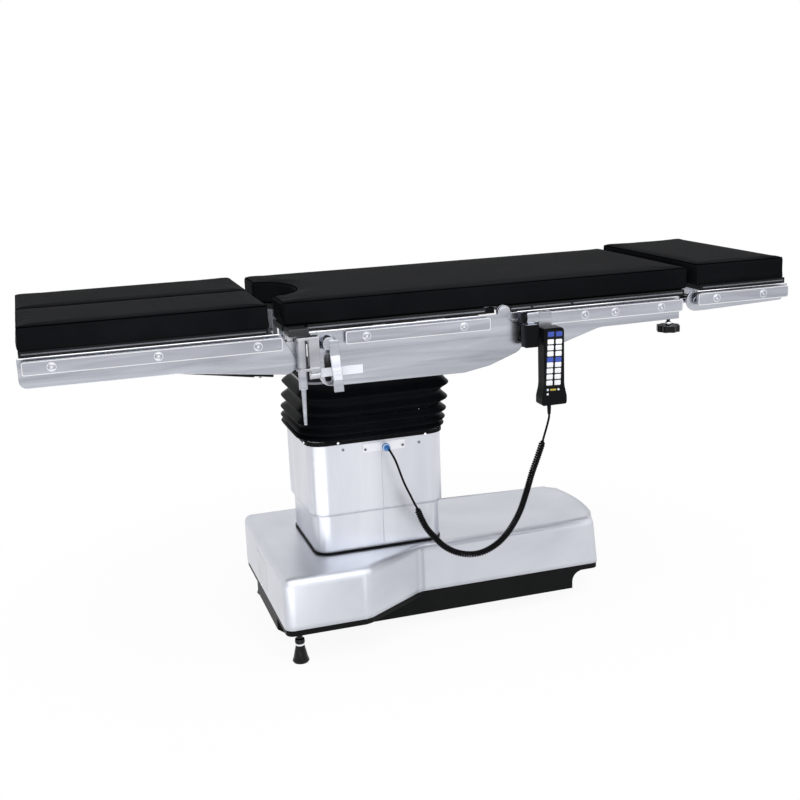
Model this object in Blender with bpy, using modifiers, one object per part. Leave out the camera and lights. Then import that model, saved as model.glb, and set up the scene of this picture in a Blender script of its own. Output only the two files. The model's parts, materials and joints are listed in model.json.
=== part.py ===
"""Mobile operating table: a stainless base and telescopic column that carry a sliding, tilting top.

+X runs from the foot end to the head end, +Y to the patient's right, +Z up, and the floor is at
Z = 0. Left is the side at -Y. All sizes are in metres.
"""
import math

import bmesh
import bpy
from mathutils import Matrix, Vector

# Clearance between pieces that seat on each other, and between a pin and its bore
SEAT = 0.0003
RUNNING = 0.0006

# Heights of the table top
FRAME_TOP = 0.8754
BOARD_T = 0.015
PAD_T = 0.060
HEAD_RISE = 0.0086

# Widths of the table top, each measured from its middle line
SEAT_PAD_HALF_W = 0.260
BOARD_MARGIN = 0.002
END_PAD_MARGIN = 0.015
PAD_ROUND = 0.012
BOARD_SHADOW = 0.002
HINGE_BOARD_INSET = 0.042
HEAD_BOARD_INSET = 0.021

# Side plates stand in two layers, so that a folding section passes inside the seat
PLATE_T = 0.006
PLATE_CLEARANCE = 0.002
LAYER_GAP = 0.003
RAIL_STAND_OFF = 0.004
RAIL_T = 0.010
RAIL_H = 0.032
RAIL_DROP = 0.004
RAIL_END_ROUND = 0.008
RAIL_BOSS_R = 0.009
LEG_RAIL_BOSSES = (0.11, 0.51, 0.90)
SEAT_RAIL_BOSSES = (0.08, 0.57, 0.93)
BACK_RAIL_BOSSES = (0.223, 0.572, 0.876)
HEAD_RAIL_BOSSES = (0.25, 0.78)

# Lengths along the table
LEG_PAD_LENGTH = 0.584
LEG_GAP = 0.033
SEAT_FOOT_X = -0.395
BACK_HINGE_X = 0.175
BACK_HINGE_RISE = 0.0046
BACK_PAD_LENGTH = 0.547
HEAD_GAP = 0.014
HEAD_PAD_LENGTH = 0.275
PERINEAL_DEPTH = 0.085
PERINEAL_HALF_W = 0.130

# Cross members under the boards
BAR_T = 0.028
BAR_H = 0.034

# Seat frame
EAR_FOOT_X = -0.316
SEAT_PLATE_DEPTH = 0.1424
EAR_ROUND = 0.030
NOSE_X = 0.225
NOSE_DEPTH = 0.097
EAR_SLOT_X = -0.293
EAR_SLOT_W = 0.018
EAR_SLOT_H = 0.073
EAR_SLOT_DROP = 0.093
SEAT_BARS_X = (-0.285, -0.070, 0.096)
SLIDE_RAIL_Y = 0.161
SLIDE_RAIL_W = 0.022
SLIDE_RAIL_H = 0.036
SLIDE_RAIL_FOOT_X = -0.300
SLIDE_RAIL_HEAD_X = 0.150
HINGE_BOSS_R = 0.017
HINGE_PIN_R = 0.008
HINGE_DISC_R = 0.0115
HINGE_DISC_T = 0.002

# Leg sections
KNEE_X = -0.397
KNEE_DROP = 0.0724
KNEE_R = 0.028
KNEE_PIN_R = 0.008
PIN_SHORT = 0.0015
LEG_PLATE_SHALLOW = 0.071
LEG_PLATE_STEP_X = -0.654
LEG_SPLIT = 0.003
LEG_CHEEK_INSET = 0.050
POST_X = -0.359
POST_OUTSET = 0.004
POST_R = 0.0075
SLEEVE_R = 0.012
YOKE_R = 0.015
YOKE_TOP_DROP = 0.0084
YOKE_H = 0.083
YOKE_PLATE_T = 0.0065
YOKE_WEB_T = 0.020
KNUCKLE_BLOCK_INSET = 0.032
CAP_INSET = 0.024
CAP_CLEARANCE = 0.0065
LOCK_NUT_R = 0.011
LOCK_NUT_H = 0.046
HANDLE_L = 0.092
HANDLE_R = 0.0062
HANDLE_TIP_R = 0.0040
CLAMP_SCREW_R = 0.010

# Side levers on the ears
LEVER_DROP = 0.0284
LEVER_HUB_R = 0.023
LEVER_HUB_TIP_R = 0.015
LEVER_HUB_L = 0.021
LEVER_W = 0.024
LEVER_T = 0.006
LEVER_L = 0.118
LEVER_BEND = 0.014

# Back section
BACK_PLATE_DEPTH = 0.0934
BACK_PLATE_SHALLOW = 0.0604
BACK_STEP_X = (0.343, 0.449)
BACK_BARS_X = (0.265, 0.420, 0.570)
SOCKET_INSET = 0.018
SOCKET_W = 0.030
SOCKET_H = 0.036
SOCKET_L = 0.090
ROD_R = 0.009
ROD_GRIP = 0.150

# Head section
HEAD_HINGE_DROP = 0.0154
HEAD_HINGE_R = 0.028
HEAD_PLATE_DEPTH = (0.052, 0.044)
HEAD_PLATE_LENGTH = 0.289
HEAD_BARS_X = (0.815, 0.960)
HEAD_LUG_R = 0.020
HEAD_LUG_T = 0.012
HEAD_TUBE_R = 0.011
KNOB_INSET = 0.018
KNOB_R = 0.032
KNOB_T = 0.017
KNOB_LOBES = 8
KNOB_STEM_R = 0.005
KNOB_STEM_L = 0.036
KNOB_BOSS_H = 0.010

# Column
COLUMN_X = -0.1395
UPPER_HALF_L = 0.1855
UPPER_HALF_W = 0.155
SLEEVE_STEP = 0.009
SLEEVE_WALL = 0.002
COLUMN_ROUND = 0.042
UPPER_FOOT_Z = 0.353
BELLOWS_FOOT_Z = 0.548
LOWER_HEAD_Z = 0.501
GASKET_T = 0.005
GASKET_OUT = 0.003
CLAMP_H = 0.012
CLAMP_OUT = 0.004
MAST_W = 0.150
MAST_WALL = 0.008
MAST_HEAD_Z = 0.500
RAM_FOOT_Z = 0.165
CROWN_T = 0.009
HANGER_W = 0.070
HANGER_T = 0.003

# Bellows: the height of each fold's crest, how far the folds stand out, and how far in they go
CREST_Z = (0.565, 0.584, 0.609, 0.642, 0.680)
CREST_OUT = (0.015, 0.017, 0.019, 0.022, 0.024)
VALLEY_OUT = 0.0065
BELLOWS_HEAD_Z = 0.716
BELLOWS_WALL = 0.0025

# Tilting head of the column
TREND_Z = 0.672
ROLL_RISE = 0.034
CROWN_DROP = 0.069
EAR_T = 0.018
EAR_R = 0.024
TREND_EAR_Y = 0.082
ROLL_EAR_X = 0.070
PIVOT_R = 0.011
CROSS_HALF = 0.052
PAN_T = 0.006
PAN_Z = 0.7165
PAN_LIP = 0.030
CARRIER_Z = 0.775
CARRIER_T = 0.016
BLOCK_L = 0.048
BLOCK_STATION = 0.060
BLOCK_WALL = 0.009

# Base
BASE_FOOT_X = -0.440
BASE_HEAD_X = 0.516
BASE_WIDE_HALF = 0.280
BASE_NARROW_HALF = 0.166
RAMP_X = (-0.215, -0.040)
BASE_BOW = 0.030
BASE_DRAFT = 0.014
BASE_CORNER = 0.022
COVER_FOOT_Z = 0.105
COVER_HEAD_Z = 0.243
COVER_FILLET = 0.020
COVER_WALL = 0.002
DECK_T = 0.016
KEEL_FOOT_Z = 0.038
KEEL_X = (-0.436, 0.420)
KEEL_HALF_W = 0.164
KEEL_SWEEP = 0.030
KEEL_TAPER = 0.029
KEEL_TAPER_L = 0.076

# Brake feet and castors
FOOT_X = -0.399
FOOT_Y = 0.240
HEAD_FOOT_X = 0.245
FOOT_R = 0.0225
FOOT_STEM_R = 0.008
FOOT_STEM_TOP = 0.150
HOUSING_R = 0.017
HOUSING_TOP = 0.174
CASTOR_X = -0.330
CASTOR_Y = 0.075
CASTOR_POCKET_R = 0.060
WHEEL_R = 0.033
WHEEL_T = 0.022
WHEEL_LIFT = 0.004
CASTOR_TRAIL = 0.016
FORK_T = 0.004
AXLE_R = 0.005
REAR_AXLE_X = 0.340
REAR_WHEEL_Y = 0.056
REAR_POCKET_HALF_W = 0.078

# Power unit under the cover
POWER_X = (0.060, 0.140)
POWER_HALF_W = 0.095
POWER_H = 0.085
MOTOR_R = 0.036
MOTOR_L = 0.170

# Cord socket, plug and the curly cord, which is 6 mm thick and wound to a coil of 18 mm
SOCKET_X = -0.1235
SOCKET_Z = 0.5315
SOCKET_PLATE = (0.116, 0.024, 0.0025)
SOCKET_R = 0.011
SOCKET_DEPTH = 0.016
PLUG_R = 0.0085
PLUG_L = 0.014
CORD_D = 0.006
COIL_D = 0.018
LEAD_ROUTE = (
    (-0.1235, -0.2035, 0.5315), (-0.1235, -0.2065, 0.5315), (-0.1215, -0.2115, 0.5265),
    (-0.115, -0.215, 0.513),
    (-0.108, -0.218, 0.494), (-0.101, -0.221, 0.470), (-0.092, -0.225, 0.441),
    (-0.079, -0.231, 0.409), (-0.068, -0.2365, 0.382), (-0.0650, -0.2385, 0.3755),
)
COIL_ROUTE = (
    (-0.056, -0.243, 0.348), (-0.044, -0.248, 0.320), (-0.027, -0.253, 0.296),
    (-0.002, -0.260, 0.267), (0.028, -0.266, 0.247), (0.062, -0.272, 0.237),
    (0.095, -0.278, 0.238), (0.127, -0.284, 0.251), (0.157, -0.290, 0.275),
    (0.183, -0.296, 0.311), (0.202, -0.301, 0.349), (0.214, -0.305, 0.386),
    (0.223, -0.309, 0.419), (0.232, -0.312, 0.452), (0.243, -0.315, 0.484),
    (0.2535, -0.317, 0.514), (0.2590, -0.3180, 0.5315), (0.2615, -0.3185, 0.540),
)
TAIL_ROUTE = ((0.2680, -0.3195, 0.562), (0.2740, -0.3200, 0.582))

# Hand pendant, hung on the left back rail
PENDANT_X = 0.2790
PENDANT_T = 0.038
PENDANT_W = 0.056
PENDANT_FOOT_Z = 0.636
PENDANT_H = 0.202
PENDANT_FLARE = 0.007
PENDANT_FLARE_H = 0.050
RELIEF_R = (0.0058, 0.0044)
RELIEF_L = 0.027
HOOK_X = (0.262, 0.298)
HOOK_T = 0.002
HOOK_GAP = 0.003
PENDANT_OFF_CENTRE = 0.008
BOOT_DEPTH = 0.0219
ROUTE_BOOT_Y = 0.3202
HOLDER_X = (0.214, 0.2502)
HOLDER_T = 0.030
HOLDER_H = 0.058

# Colours: linear base colour, metallic, roughness
FINISHES = {
    "stainless": ((0.60, 0.61, 0.63), 1.0, 0.28),
    "steel": ((0.42, 0.43, 0.45), 1.0, 0.40),
    "black_rubber": ((0.012, 0.012, 0.013), 0.0, 0.55),
    "black_plastic": ((0.015, 0.015, 0.016), 0.0, 0.40),
    "pad_cover": ((0.011, 0.011, 0.012), 0.0, 0.50),
    "board": ((0.10, 0.10, 0.105), 0.0, 0.45),
    "cast_metal": ((0.20, 0.205, 0.21), 0.8, 0.45),
    "blue_plastic": ((0.02, 0.16, 0.42), 0.0, 0.35),
    "tyre": ((0.05, 0.05, 0.052), 0.0, 0.70),
}

# Values worked out from the ones above
BOARD_HALF_W = SEAT_PAD_HALF_W + BOARD_MARGIN
END_PAD_HALF_W = SEAT_PAD_HALF_W + END_PAD_MARGIN
INNER_LAYER_Y = BOARD_HALF_W + PLATE_CLEARANCE
RAIL_Y = INNER_LAYER_Y + 2 * PLATE_T + LAYER_GAP + RAIL_STAND_OFF
LEG_CHEEK_Y = INNER_LAYER_Y - LEG_CHEEK_INSET
POST_Y = RAIL_Y + POST_OUTSET
KNUCKLE_BLOCK_Y = INNER_LAYER_Y - KNUCKLE_BLOCK_INSET
CAP_Y = INNER_LAYER_Y - CAP_INSET
SOCKET_Y = INNER_LAYER_Y - SOCKET_INSET
ROLL_Z = TREND_Z + ROLL_RISE
CROWN_Z = TREND_Z - CROWN_DROP
BOARD_Z = FRAME_TOP + SEAT
PAD_Z = BOARD_Z + BOARD_T + SEAT
OUTER_LAYER_Y = INNER_LAYER_Y + PLATE_T + LAYER_GAP
BACK_HINGE_Z = FRAME_TOP + BACK_HINGE_RISE
HEAD_FRAME_TOP = FRAME_TOP + HEAD_RISE
HEAD_X = BACK_HINGE_X + BACK_PAD_LENGTH + HEAD_GAP
HEAD_HINGE_Z = FRAME_TOP - HEAD_HINGE_DROP
BACK_FRAME_HEAD_X = HEAD_X - 0.050
KNOB_X = BACK_FRAME_HEAD_X - KNOB_INSET
LEG_HEAD_X = SEAT_FOOT_X - LEG_GAP
LEG_FOOT_X = LEG_HEAD_X - LEG_PAD_LENGTH
KNEE_Z = FRAME_TOP - KNEE_DROP
YOKE_TOP_Z = FRAME_TOP - YOKE_TOP_DROP
YOKE_FOOT_Z = YOKE_TOP_Z - YOKE_H
DECK_Z = COVER_FOOT_Z - SEAT - DECK_T
WHEEL_Z = WHEEL_R + WHEEL_LIFT
SOCKET_FACE_Y = UPPER_HALF_W + SEAT + SOCKET_PLATE[2]
PLUG_Y = SOCKET_FACE_Y + SOCKET_DEPTH + SEAT
PENDANT_BACK_Y = RAIL_Y + RAIL_T + HOOK_GAP + HOOK_T + SEAT
BOOT_Y = PENDANT_BACK_Y + BOOT_DEPTH
COLUMN_FOOT_Z = COVER_HEAD_Z + SEAT + GASKET_T + SEAT


def start_scene():
    """Removes what a new file holds and returns the collections for the parts and the tools."""
    for obj in list(bpy.data.objects):
        bpy.data.objects.remove(obj)
    parts = bpy.data.collections.new("OperatingTable")
    tools = bpy.data.collections.new("Tools")
    tools.hide_render = True
    for collection in (parts, tools):
        bpy.context.scene.collection.children.link(collection)
    return parts, tools


PARTS, TOOLS = start_scene()
MATERIALS = {}


def material(finish):
    """The Principled material of one finish, made once."""
    if finish not in MATERIALS:
        colour, metallic, roughness = FINISHES[finish]
        made = bpy.data.materials.new(finish)
        made.use_nodes = True
        shader = made.node_tree.nodes["Principled BSDF"]
        shader.inputs["Base Color"].default_value = (*colour, 1.0)
        shader.inputs["Metallic"].default_value = metallic
        shader.inputs["Roughness"].default_value = roughness
        MATERIALS[finish] = made
    return MATERIALS[finish]


def as_tool(obj):
    """Puts an object among the cutters, where it is neither rendered nor built."""
    for collection in list(obj.users_collection):
        collection.objects.unlink(obj)
    TOOLS.objects.link(obj)
    obj.hide_render = True
    obj.display_type = "WIRE"
    return obj


def new_object(name, mesh):
    obj = bpy.data.objects.new(name, mesh)
    PARTS.objects.link(obj)
    return obj


def mesh_object(name, shape):
    """An object from a bmesh, with its faces turned outwards."""
    bmesh.ops.recalc_face_normals(shape, faces=shape.faces)
    mesh = bpy.data.meshes.new(name)
    shape.to_mesh(mesh)
    shape.free()
    return new_object(name, mesh)


def box(name, x, y, z, bevel=0.0, segments=1):
    """A box between two values on each axis, with its edges rounded if a bevel is given."""
    low, high = Vector(map(min, (x, y, z))), Vector(map(max, (x, y, z)))
    shape = bmesh.new()
    place = Matrix.Translation((low + high) / 2) @ Matrix.Diagonal((*(high - low), 1.0))
    bmesh.ops.create_cube(shape, size=1.0, matrix=place)
    if bevel:
        bmesh.ops.bevel(shape, geom=shape.edges[:], offset=bevel, segments=segments, affect="EDGES",
                        profile=0.5)
    return mesh_object(name, shape)


def axis_matrix(axis):
    """Turns +Z onto the named axis."""
    turns = {"x": Matrix.Rotation(math.pi / 2, 4, "Y"), "y": Matrix.Rotation(-math.pi / 2, 4, "X")}
    return turns.get(axis, Matrix.Identity(4))


def cylinder(name, centre, radius, length, axis="z", sides=20, tip_radius=None):
    """A cylinder or cone about its centre. A tip radius is the one at the + end of the axis."""
    shape = bmesh.new()
    tip = radius if tip_radius is None else tip_radius
    bmesh.ops.create_cone(shape, cap_ends=True, segments=sides, radius1=radius, radius2=tip,
                          depth=length, matrix=Matrix.Translation(centre) @ axis_matrix(axis))
    return mesh_object(name, shape)


def rounded(corners, turn=math.radians(22.5)):
    """The outline through corners given as (a, b) or (a, b, radius), each radius as an arc."""
    points = []
    for i, corner in enumerate(corners):
        here = Vector(corner[:2])
        radius = corner[2] if len(corner) > 2 else 0.0
        back = Vector(corners[i - 1][:2]) - here
        ahead = Vector(corners[(i + 1) % len(corners)][:2]) - here
        opening = back.angle(ahead)
        if radius <= 0.0 or math.pi - opening < 1e-4:
            points.append(here)
            continue
        reach = radius / math.tan(opening / 2)
        reach = min(reach, 0.495 * back.length, 0.495 * ahead.length)
        radius = reach * math.tan(opening / 2)
        middle = here + (back.normalized() + ahead.normalized()).normalized() * (
            radius / math.sin(opening / 2))
        start = here + back.normalized() * reach - middle
        sweep = start.angle_signed(here + ahead.normalized() * reach - middle)
        steps = max(1, round(abs(sweep) / turn))
        for step in range(steps + 1):
            arm = start.copy()
            arm.rotate(Matrix.Rotation(-sweep * step / steps, 2))
            points.append(middle + arm)
    return points


def arc(centre, radius, first, last, steps):
    """Points on an arc, with its angles in degrees."""
    angles = [math.radians(first + (last - first) * i / steps) for i in range(steps + 1)]
    return [(centre[0] + radius * math.cos(a), centre[1] + radius * math.sin(a)) for a in angles]


def curve_to_mesh(name, obj):
    """Replaces a curve object by the mesh it evaluates to, with its caps welded on."""
    graph = bpy.context.evaluated_depsgraph_get()
    graph.update()
    mesh = bpy.data.meshes.new_from_object(obj.evaluated_get(graph))
    place = obj.matrix_world.copy()
    bpy.data.objects.remove(obj)
    shape = bmesh.new()
    shape.from_mesh(mesh)
    bmesh.ops.remove_doubles(shape, verts=shape.verts, dist=1e-6)
    bmesh.ops.transform(shape, matrix=place, verts=shape.verts)
    bpy.data.meshes.remove(mesh)
    return mesh_object(name, shape)


def prism(name, outline, axis, low, high):
    """A flat outline given thickness along an axis: (x, z) points along y, (x, y) points along z."""
    low, high = min(low, high), max(low, high)
    curve = bpy.data.curves.new(name + "_outline", "CURVE")
    curve.dimensions = "2D"
    curve.fill_mode = "BOTH"
    curve.extrude = (high - low) / 2
    spline = curve.splines.new("POLY")
    spline.points.add(len(outline) - 1)
    for point, at in zip(spline.points, outline):
        point.co = (at[0], at[1], 0.0, 1.0)
    spline.use_cyclic_u = True
    obj = new_object(name, curve)
    middle = (low + high) / 2
    if axis == "y":
        obj.matrix_world = Matrix.Translation((0.0, middle, 0.0)) @ Matrix.Rotation(math.pi / 2, 4, "X")
    else:
        obj.matrix_world = Matrix.Translation((0.0, 0.0, middle))
    return curve_to_mesh(name, obj)


def ring(name, loops):
    """A closed body from a cycle of loops with equal point counts, as a tube wall has."""
    shape = bmesh.new()
    rows = [[shape.verts.new(point) for point in loop] for loop in loops]
    count = len(rows[0])
    for i, row in enumerate(rows):
        after = rows[(i + 1) % len(rows)]
        for j in range(count):
            k = (j + 1) % count
            shape.faces.new((row[j], row[k], after[k], after[j]))
    return mesh_object(name, shape)


def turned(name, profile, centre, sides=24):
    """A solid of revolution about the vertical through centre. The profile runs top to bottom."""
    mesh = bpy.data.meshes.new(name)
    mesh.from_pydata([(r, 0.0, z) for r, z in profile], [(i, i + 1) for i in range(len(profile) - 1)], [])
    obj = new_object(name, mesh)
    obj.location = centre
    screw = obj.modifiers.new("Turn", "SCREW")
    screw.steps = screw.render_steps = sides
    screw.use_merge_vertices = True
    screw.merge_threshold = 1e-5
    return obj


def boolean(target, other, operation):
    step = target.modifiers.new(f"{operation.title()} {other.name}", "BOOLEAN")
    step.operation = operation
    step.object = as_tool(other)
    return target


def joined(target, others):
    """Unites shapes that overlap into one body."""
    for other in others:
        boolean(target, other, "UNION")
    return target


def cut(target, cutters):
    for cutter in cutters:
        boolean(target, cutter, "DIFFERENCE")
    return target


def finished(obj, name, finish, smooth=False):
    """Names a piece, gives it its material and shades it."""
    obj.name = name
    obj.data.name = name
    obj.data.materials.clear()
    obj.data.materials.append(material(finish))
    if smooth:
        obj.data.shade_smooth()
        obj.data.set_sharp_from_angle(angle=math.radians(35))
    return obj


def side_name(side):
    return "left" if side < 0 else "right"


def rounded_rectangle(half_l, half_w, radius, centre_x=0.0):
    """The plan of a column sleeve, with four round corners."""
    radius = min(radius, 0.99 * half_l, 0.99 * half_w)
    corners = [(centre_x - half_l, -half_w, radius), (centre_x + half_l, -half_w, radius),
               (centre_x + half_l, half_w, radius), (centre_x - half_l, half_w, radius)]
    return rounded(corners)


def at_height(outline, z):
    return [(point[0], point[1], z) for point in outline]


def base_outline(inset=0.0, reach=0.0):
    """The plan of the base: wide at the foot end, a ramp on each side, and a bowed head end."""
    wide, narrow = BASE_WIDE_HALF - inset, BASE_NARROW_HALF - inset
    foot, head = BASE_FOOT_X + inset, BASE_HEAD_X + reach - inset
    near = [(foot, -wide, BASE_CORNER - inset), (RAMP_X[0] - inset, -wide, BASE_CORNER * 1.4),
            (RAMP_X[1] - inset, -narrow, BASE_CORNER * 1.4),
            (head - BASE_BOW, -narrow, BASE_CORNER - inset)]
    bow = [(head - BASE_BOW * part ** 2, narrow * part) for part in (-0.7, -0.47, -0.23, 0.0, 0.23, 0.47, 0.7)]
    far = [(x, -y, r) for x, y, r in reversed(near)]
    return rounded(near + bow + far)


def make_chassis():
    """Deck, keel with castor pockets, and the square mast that guides the ram."""
    deck = prism("base_chassis", base_outline(0.002, BASE_DRAFT), "z", DECK_Z, DECK_Z + DECK_T)
    keel_top = DECK_Z + DECK_T / 2
    sweep = KEEL_SWEEP
    foot, head = KEEL_X
    side_view = [(foot, keel_top), (foot, KEEL_FOOT_Z + 0.012), (foot + 0.020, KEEL_FOOT_Z)]
    side_view += [(head, KEEL_FOOT_Z)]
    side_view += arc((head + sweep, KEEL_FOOT_Z + 0.020), sweep, 180, 100, 5)
    side_view += [(head + sweep, keel_top)]
    keel = prism("keel", side_view, "y", -KEEL_HALF_W, KEEL_HALF_W)
    mast = box("mast", (COLUMN_X - MAST_W / 2, COLUMN_X + MAST_W / 2), (-MAST_W / 2, MAST_W / 2),
               (DECK_Z + DECK_T / 2, MAST_HEAD_Z))
    housings = [cylinder("housing", (x, y, (DECK_Z + DECK_T / 2 + HOUSING_TOP) / 2), HOUSING_R,
                         HOUSING_TOP - DECK_Z - DECK_T / 2, sides=20) for x, y in foot_places().values()]
    joined(deck, [keel, mast, *housings])
    inner = MAST_W / 2 - MAST_WALL
    tools = [box("mast_bore", (COLUMN_X - inner, COLUMN_X + inner), (-inner, inner),
                 (KEEL_FOOT_Z + 0.012, MAST_HEAD_Z + 0.01))]
    pocket_top = DECK_Z - 0.001
    for side in (-1, 1):
        wedge = [(foot - 0.010, side * (KEEL_HALF_W - KEEL_TAPER)), (foot, side * (KEEL_HALF_W - KEEL_TAPER)),
                 (foot + KEEL_TAPER_L, side * KEEL_HALF_W), (foot + KEEL_TAPER_L, side * (KEEL_HALF_W + 0.01)),
                 (foot - 0.010, side * (KEEL_HALF_W + 0.01))]
        tools.append(prism("keel_taper", wedge[::side], "z", KEEL_FOOT_Z - 0.02, pocket_top))
        tools.append(cylinder(f"castor_pocket_{side_name(side)}",
                              (CASTOR_X, side * CASTOR_Y, (pocket_top + KEEL_FOOT_Z) / 2 - 0.01),
                              CASTOR_POCKET_R, pocket_top - KEEL_FOOT_Z + 0.02, sides=24))
        tools.append(cylinder(f"castor_bore_{side_name(side)}", (CASTOR_X, side * CASTOR_Y, DECK_Z),
                              FOOT_STEM_R + RUNNING, 0.10))
    bore_top = HOUSING_TOP - 0.004
    for x, y in foot_places().values():
        tools.append(cylinder("foot_bore", (x, y, bore_top / 2), FOOT_STEM_R + RUNNING, bore_top, sides=16))
    tools.append(cylinder("foot_pocket", (HEAD_FOOT_X, 0.0, (pocket_top + KEEL_FOOT_Z) / 2 - 0.01),
                          FOOT_R + 0.008, pocket_top - KEEL_FOOT_Z + 0.02, sides=24))
    tools.append(box("rear_pocket", (REAR_AXLE_X - WHEEL_R - 0.010, REAR_AXLE_X + WHEEL_R + 0.010),
                     (-REAR_POCKET_HALF_W, REAR_POCKET_HALF_W), (KEEL_FOOT_Z - 0.02, pocket_top)))
    tools.append(rear_axle_slot())
    cut(deck, tools)
    return finished(deck, "base_chassis", "black_plastic")


def rear_axle_slot():
    """The two bearing slots, open below, that hold the ends of the rear axle."""
    reach = REAR_POCKET_HALF_W + 0.012
    r = AXLE_R + RUNNING
    outline = [(REAR_AXLE_X - r, KEEL_FOOT_Z - 0.01)]
    outline += [(REAR_AXLE_X + r, KEEL_FOOT_Z - 0.01)]
    outline += arc((REAR_AXLE_X, WHEEL_Z), r, 0, 180, 8)
    return prism("rear_axle_slot", outline, "y", -reach, reach)


def cover_block(name, inset, foot, head, fillet):
    """A solid with the plan of the base and a rounded top edge."""
    shape = bmesh.new()
    low = [shape.verts.new(point) for point in at_height(base_outline(inset, BASE_DRAFT), foot)]
    high = [shape.verts.new(point) for point in at_height(base_outline(inset), head)]
    for i in range(len(low)):
        k = (i + 1) % len(low)
        shape.faces.new((low[i], low[k], high[k], high[i]))
    shape.faces.new(high)
    shape.faces.new(low[::-1])
    rim = [edge for edge in shape.edges if all(v in high for v in edge.verts)]
    bmesh.ops.bevel(shape, geom=rim, offset=fillet, segments=4, affect="EDGES", profile=0.5)
    return mesh_object(name, shape)


def make_cover():
    """The pressed stainless cover, an open shell with rounded top edges."""
    cover = cover_block("base_cover", 0.0, COVER_FOOT_Z, COVER_HEAD_Z, COVER_FILLET)
    hole = MAST_W / 2 + 0.012
    hollow = cover_block("cover_hollow", COVER_WALL, COVER_FOOT_Z - 0.02, COVER_HEAD_Z - COVER_WALL,
                         COVER_FILLET - COVER_WALL)
    cut(cover, [hollow, box("cover_hole", (COLUMN_X - hole, COLUMN_X + hole), (-hole, hole),
                            (COVER_HEAD_Z - 0.05, COVER_HEAD_Z + 0.05))])
    return finished(cover, "base_cover", "stainless", smooth=True)


def tube_of(name, half_l, half_w, radius, foot, head, wall):
    """A straight sleeve with a rounded rectangular plan, open at both ends."""
    outer = rounded_rectangle(half_l, half_w, radius, COLUMN_X)
    inner = rounded_rectangle(half_l - wall, half_w - wall, radius - wall, COLUMN_X)
    return ring(name, [at_height(outer, foot), at_height(outer, head),
                       at_height(inner, head), at_height(inner, foot)])


def make_column_fixed():
    """Gasket and lower sleeve, which stand on the base cover."""
    lower_l, lower_w = UPPER_HALF_L - SLEEVE_STEP, UPPER_HALF_W - SLEEVE_STEP
    gasket = tube_of("column_gasket", lower_l + GASKET_OUT, lower_w + GASKET_OUT,
                     COLUMN_ROUND, COVER_HEAD_Z + SEAT, COVER_HEAD_Z + SEAT + GASKET_T, 0.014)
    finished(gasket, "column_gasket", "black_rubber")
    lower = tube_of("lower_column_sleeve", lower_l, lower_w, COLUMN_ROUND - SLEEVE_STEP / 2,
                    COLUMN_FOOT_Z, LOWER_HEAD_Z, SLEEVE_WALL)
    finished(lower, "lower_column_sleeve", "stainless", smooth=True)
    return [gasket, lower]


def make_power_unit():
    """Pump, oil tank and crosswise motor in one piece on the deck, hidden by the cover."""
    foot = DECK_Z + DECK_T + SEAT
    tank = box("power_unit", POWER_X, (-POWER_HALF_W, POWER_HALF_W), (foot, foot + POWER_H), 0.004)
    motor_x = POWER_X[1] + MOTOR_R
    motor = cylinder("motor", (motor_x, 0.0, foot + MOTOR_R + 0.006), MOTOR_R, MOTOR_L, "y", 24)
    parts = [motor, box("pump", (POWER_X[1] - 0.01, motor_x), (-0.045, 0.045), (foot, foot + POWER_H * 0.8))]
    return finished(joined(tank, parts), "power_unit", "cast_metal")


def foot_places():
    return {"left": (FOOT_X, -FOOT_Y), "right": (FOOT_X, FOOT_Y), "head": (HEAD_FOOT_X, 0.0)}


def make_feet():
    """Bell-shaped rubber feet on the rods of the brake cylinders."""
    profile = [(0.0, FOOT_STEM_TOP), (FOOT_STEM_R, FOOT_STEM_TOP), (FOOT_STEM_R, 0.066),
               (0.0125, 0.064), (0.0135, 0.058), (0.0125, 0.052), (0.0085, 0.050), (0.0085, 0.046),
               (0.0120, 0.044), (0.0155, 0.030), (FOOT_R - 0.003, 0.012), (FOOT_R, 0.004),
               (FOOT_R - 0.002, 0.0), (0.0, 0.0)]
    feet = []
    for name, (x, y) in foot_places().items():
        foot = turned(f"brake_foot_{name}", profile, (x, y, 0.0), 16)
        feet.append(finished(foot, f"brake_foot_{name}", "black_rubber", smooth=True))
    return feet


def wheel_profile(outer, inner, width):
    """Tyre section with rounded shoulders, as (radius, offset) pairs, from top to bottom."""
    half = width / 2
    return [(inner, half), (outer - 0.004, half), (outer, half - 0.004), (outer, -half + 0.004),
            (outer - 0.004, -half), (inner, -half)]


def make_wheel(name, x, y, sides=20):
    """A wheel on a crosswise axle, as a turned body with a bore."""
    profile = wheel_profile(WHEEL_R, AXLE_R + RUNNING, WHEEL_T)
    loops = []
    for radius, offset in profile:
        loops.append([(x + radius * math.cos(a), y + offset, WHEEL_Z + radius * math.sin(a))
                      for a in (2 * math.pi * i / sides for i in range(sides))])
    return finished(ring(name, loops), name, "tyre", smooth=True)


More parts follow.
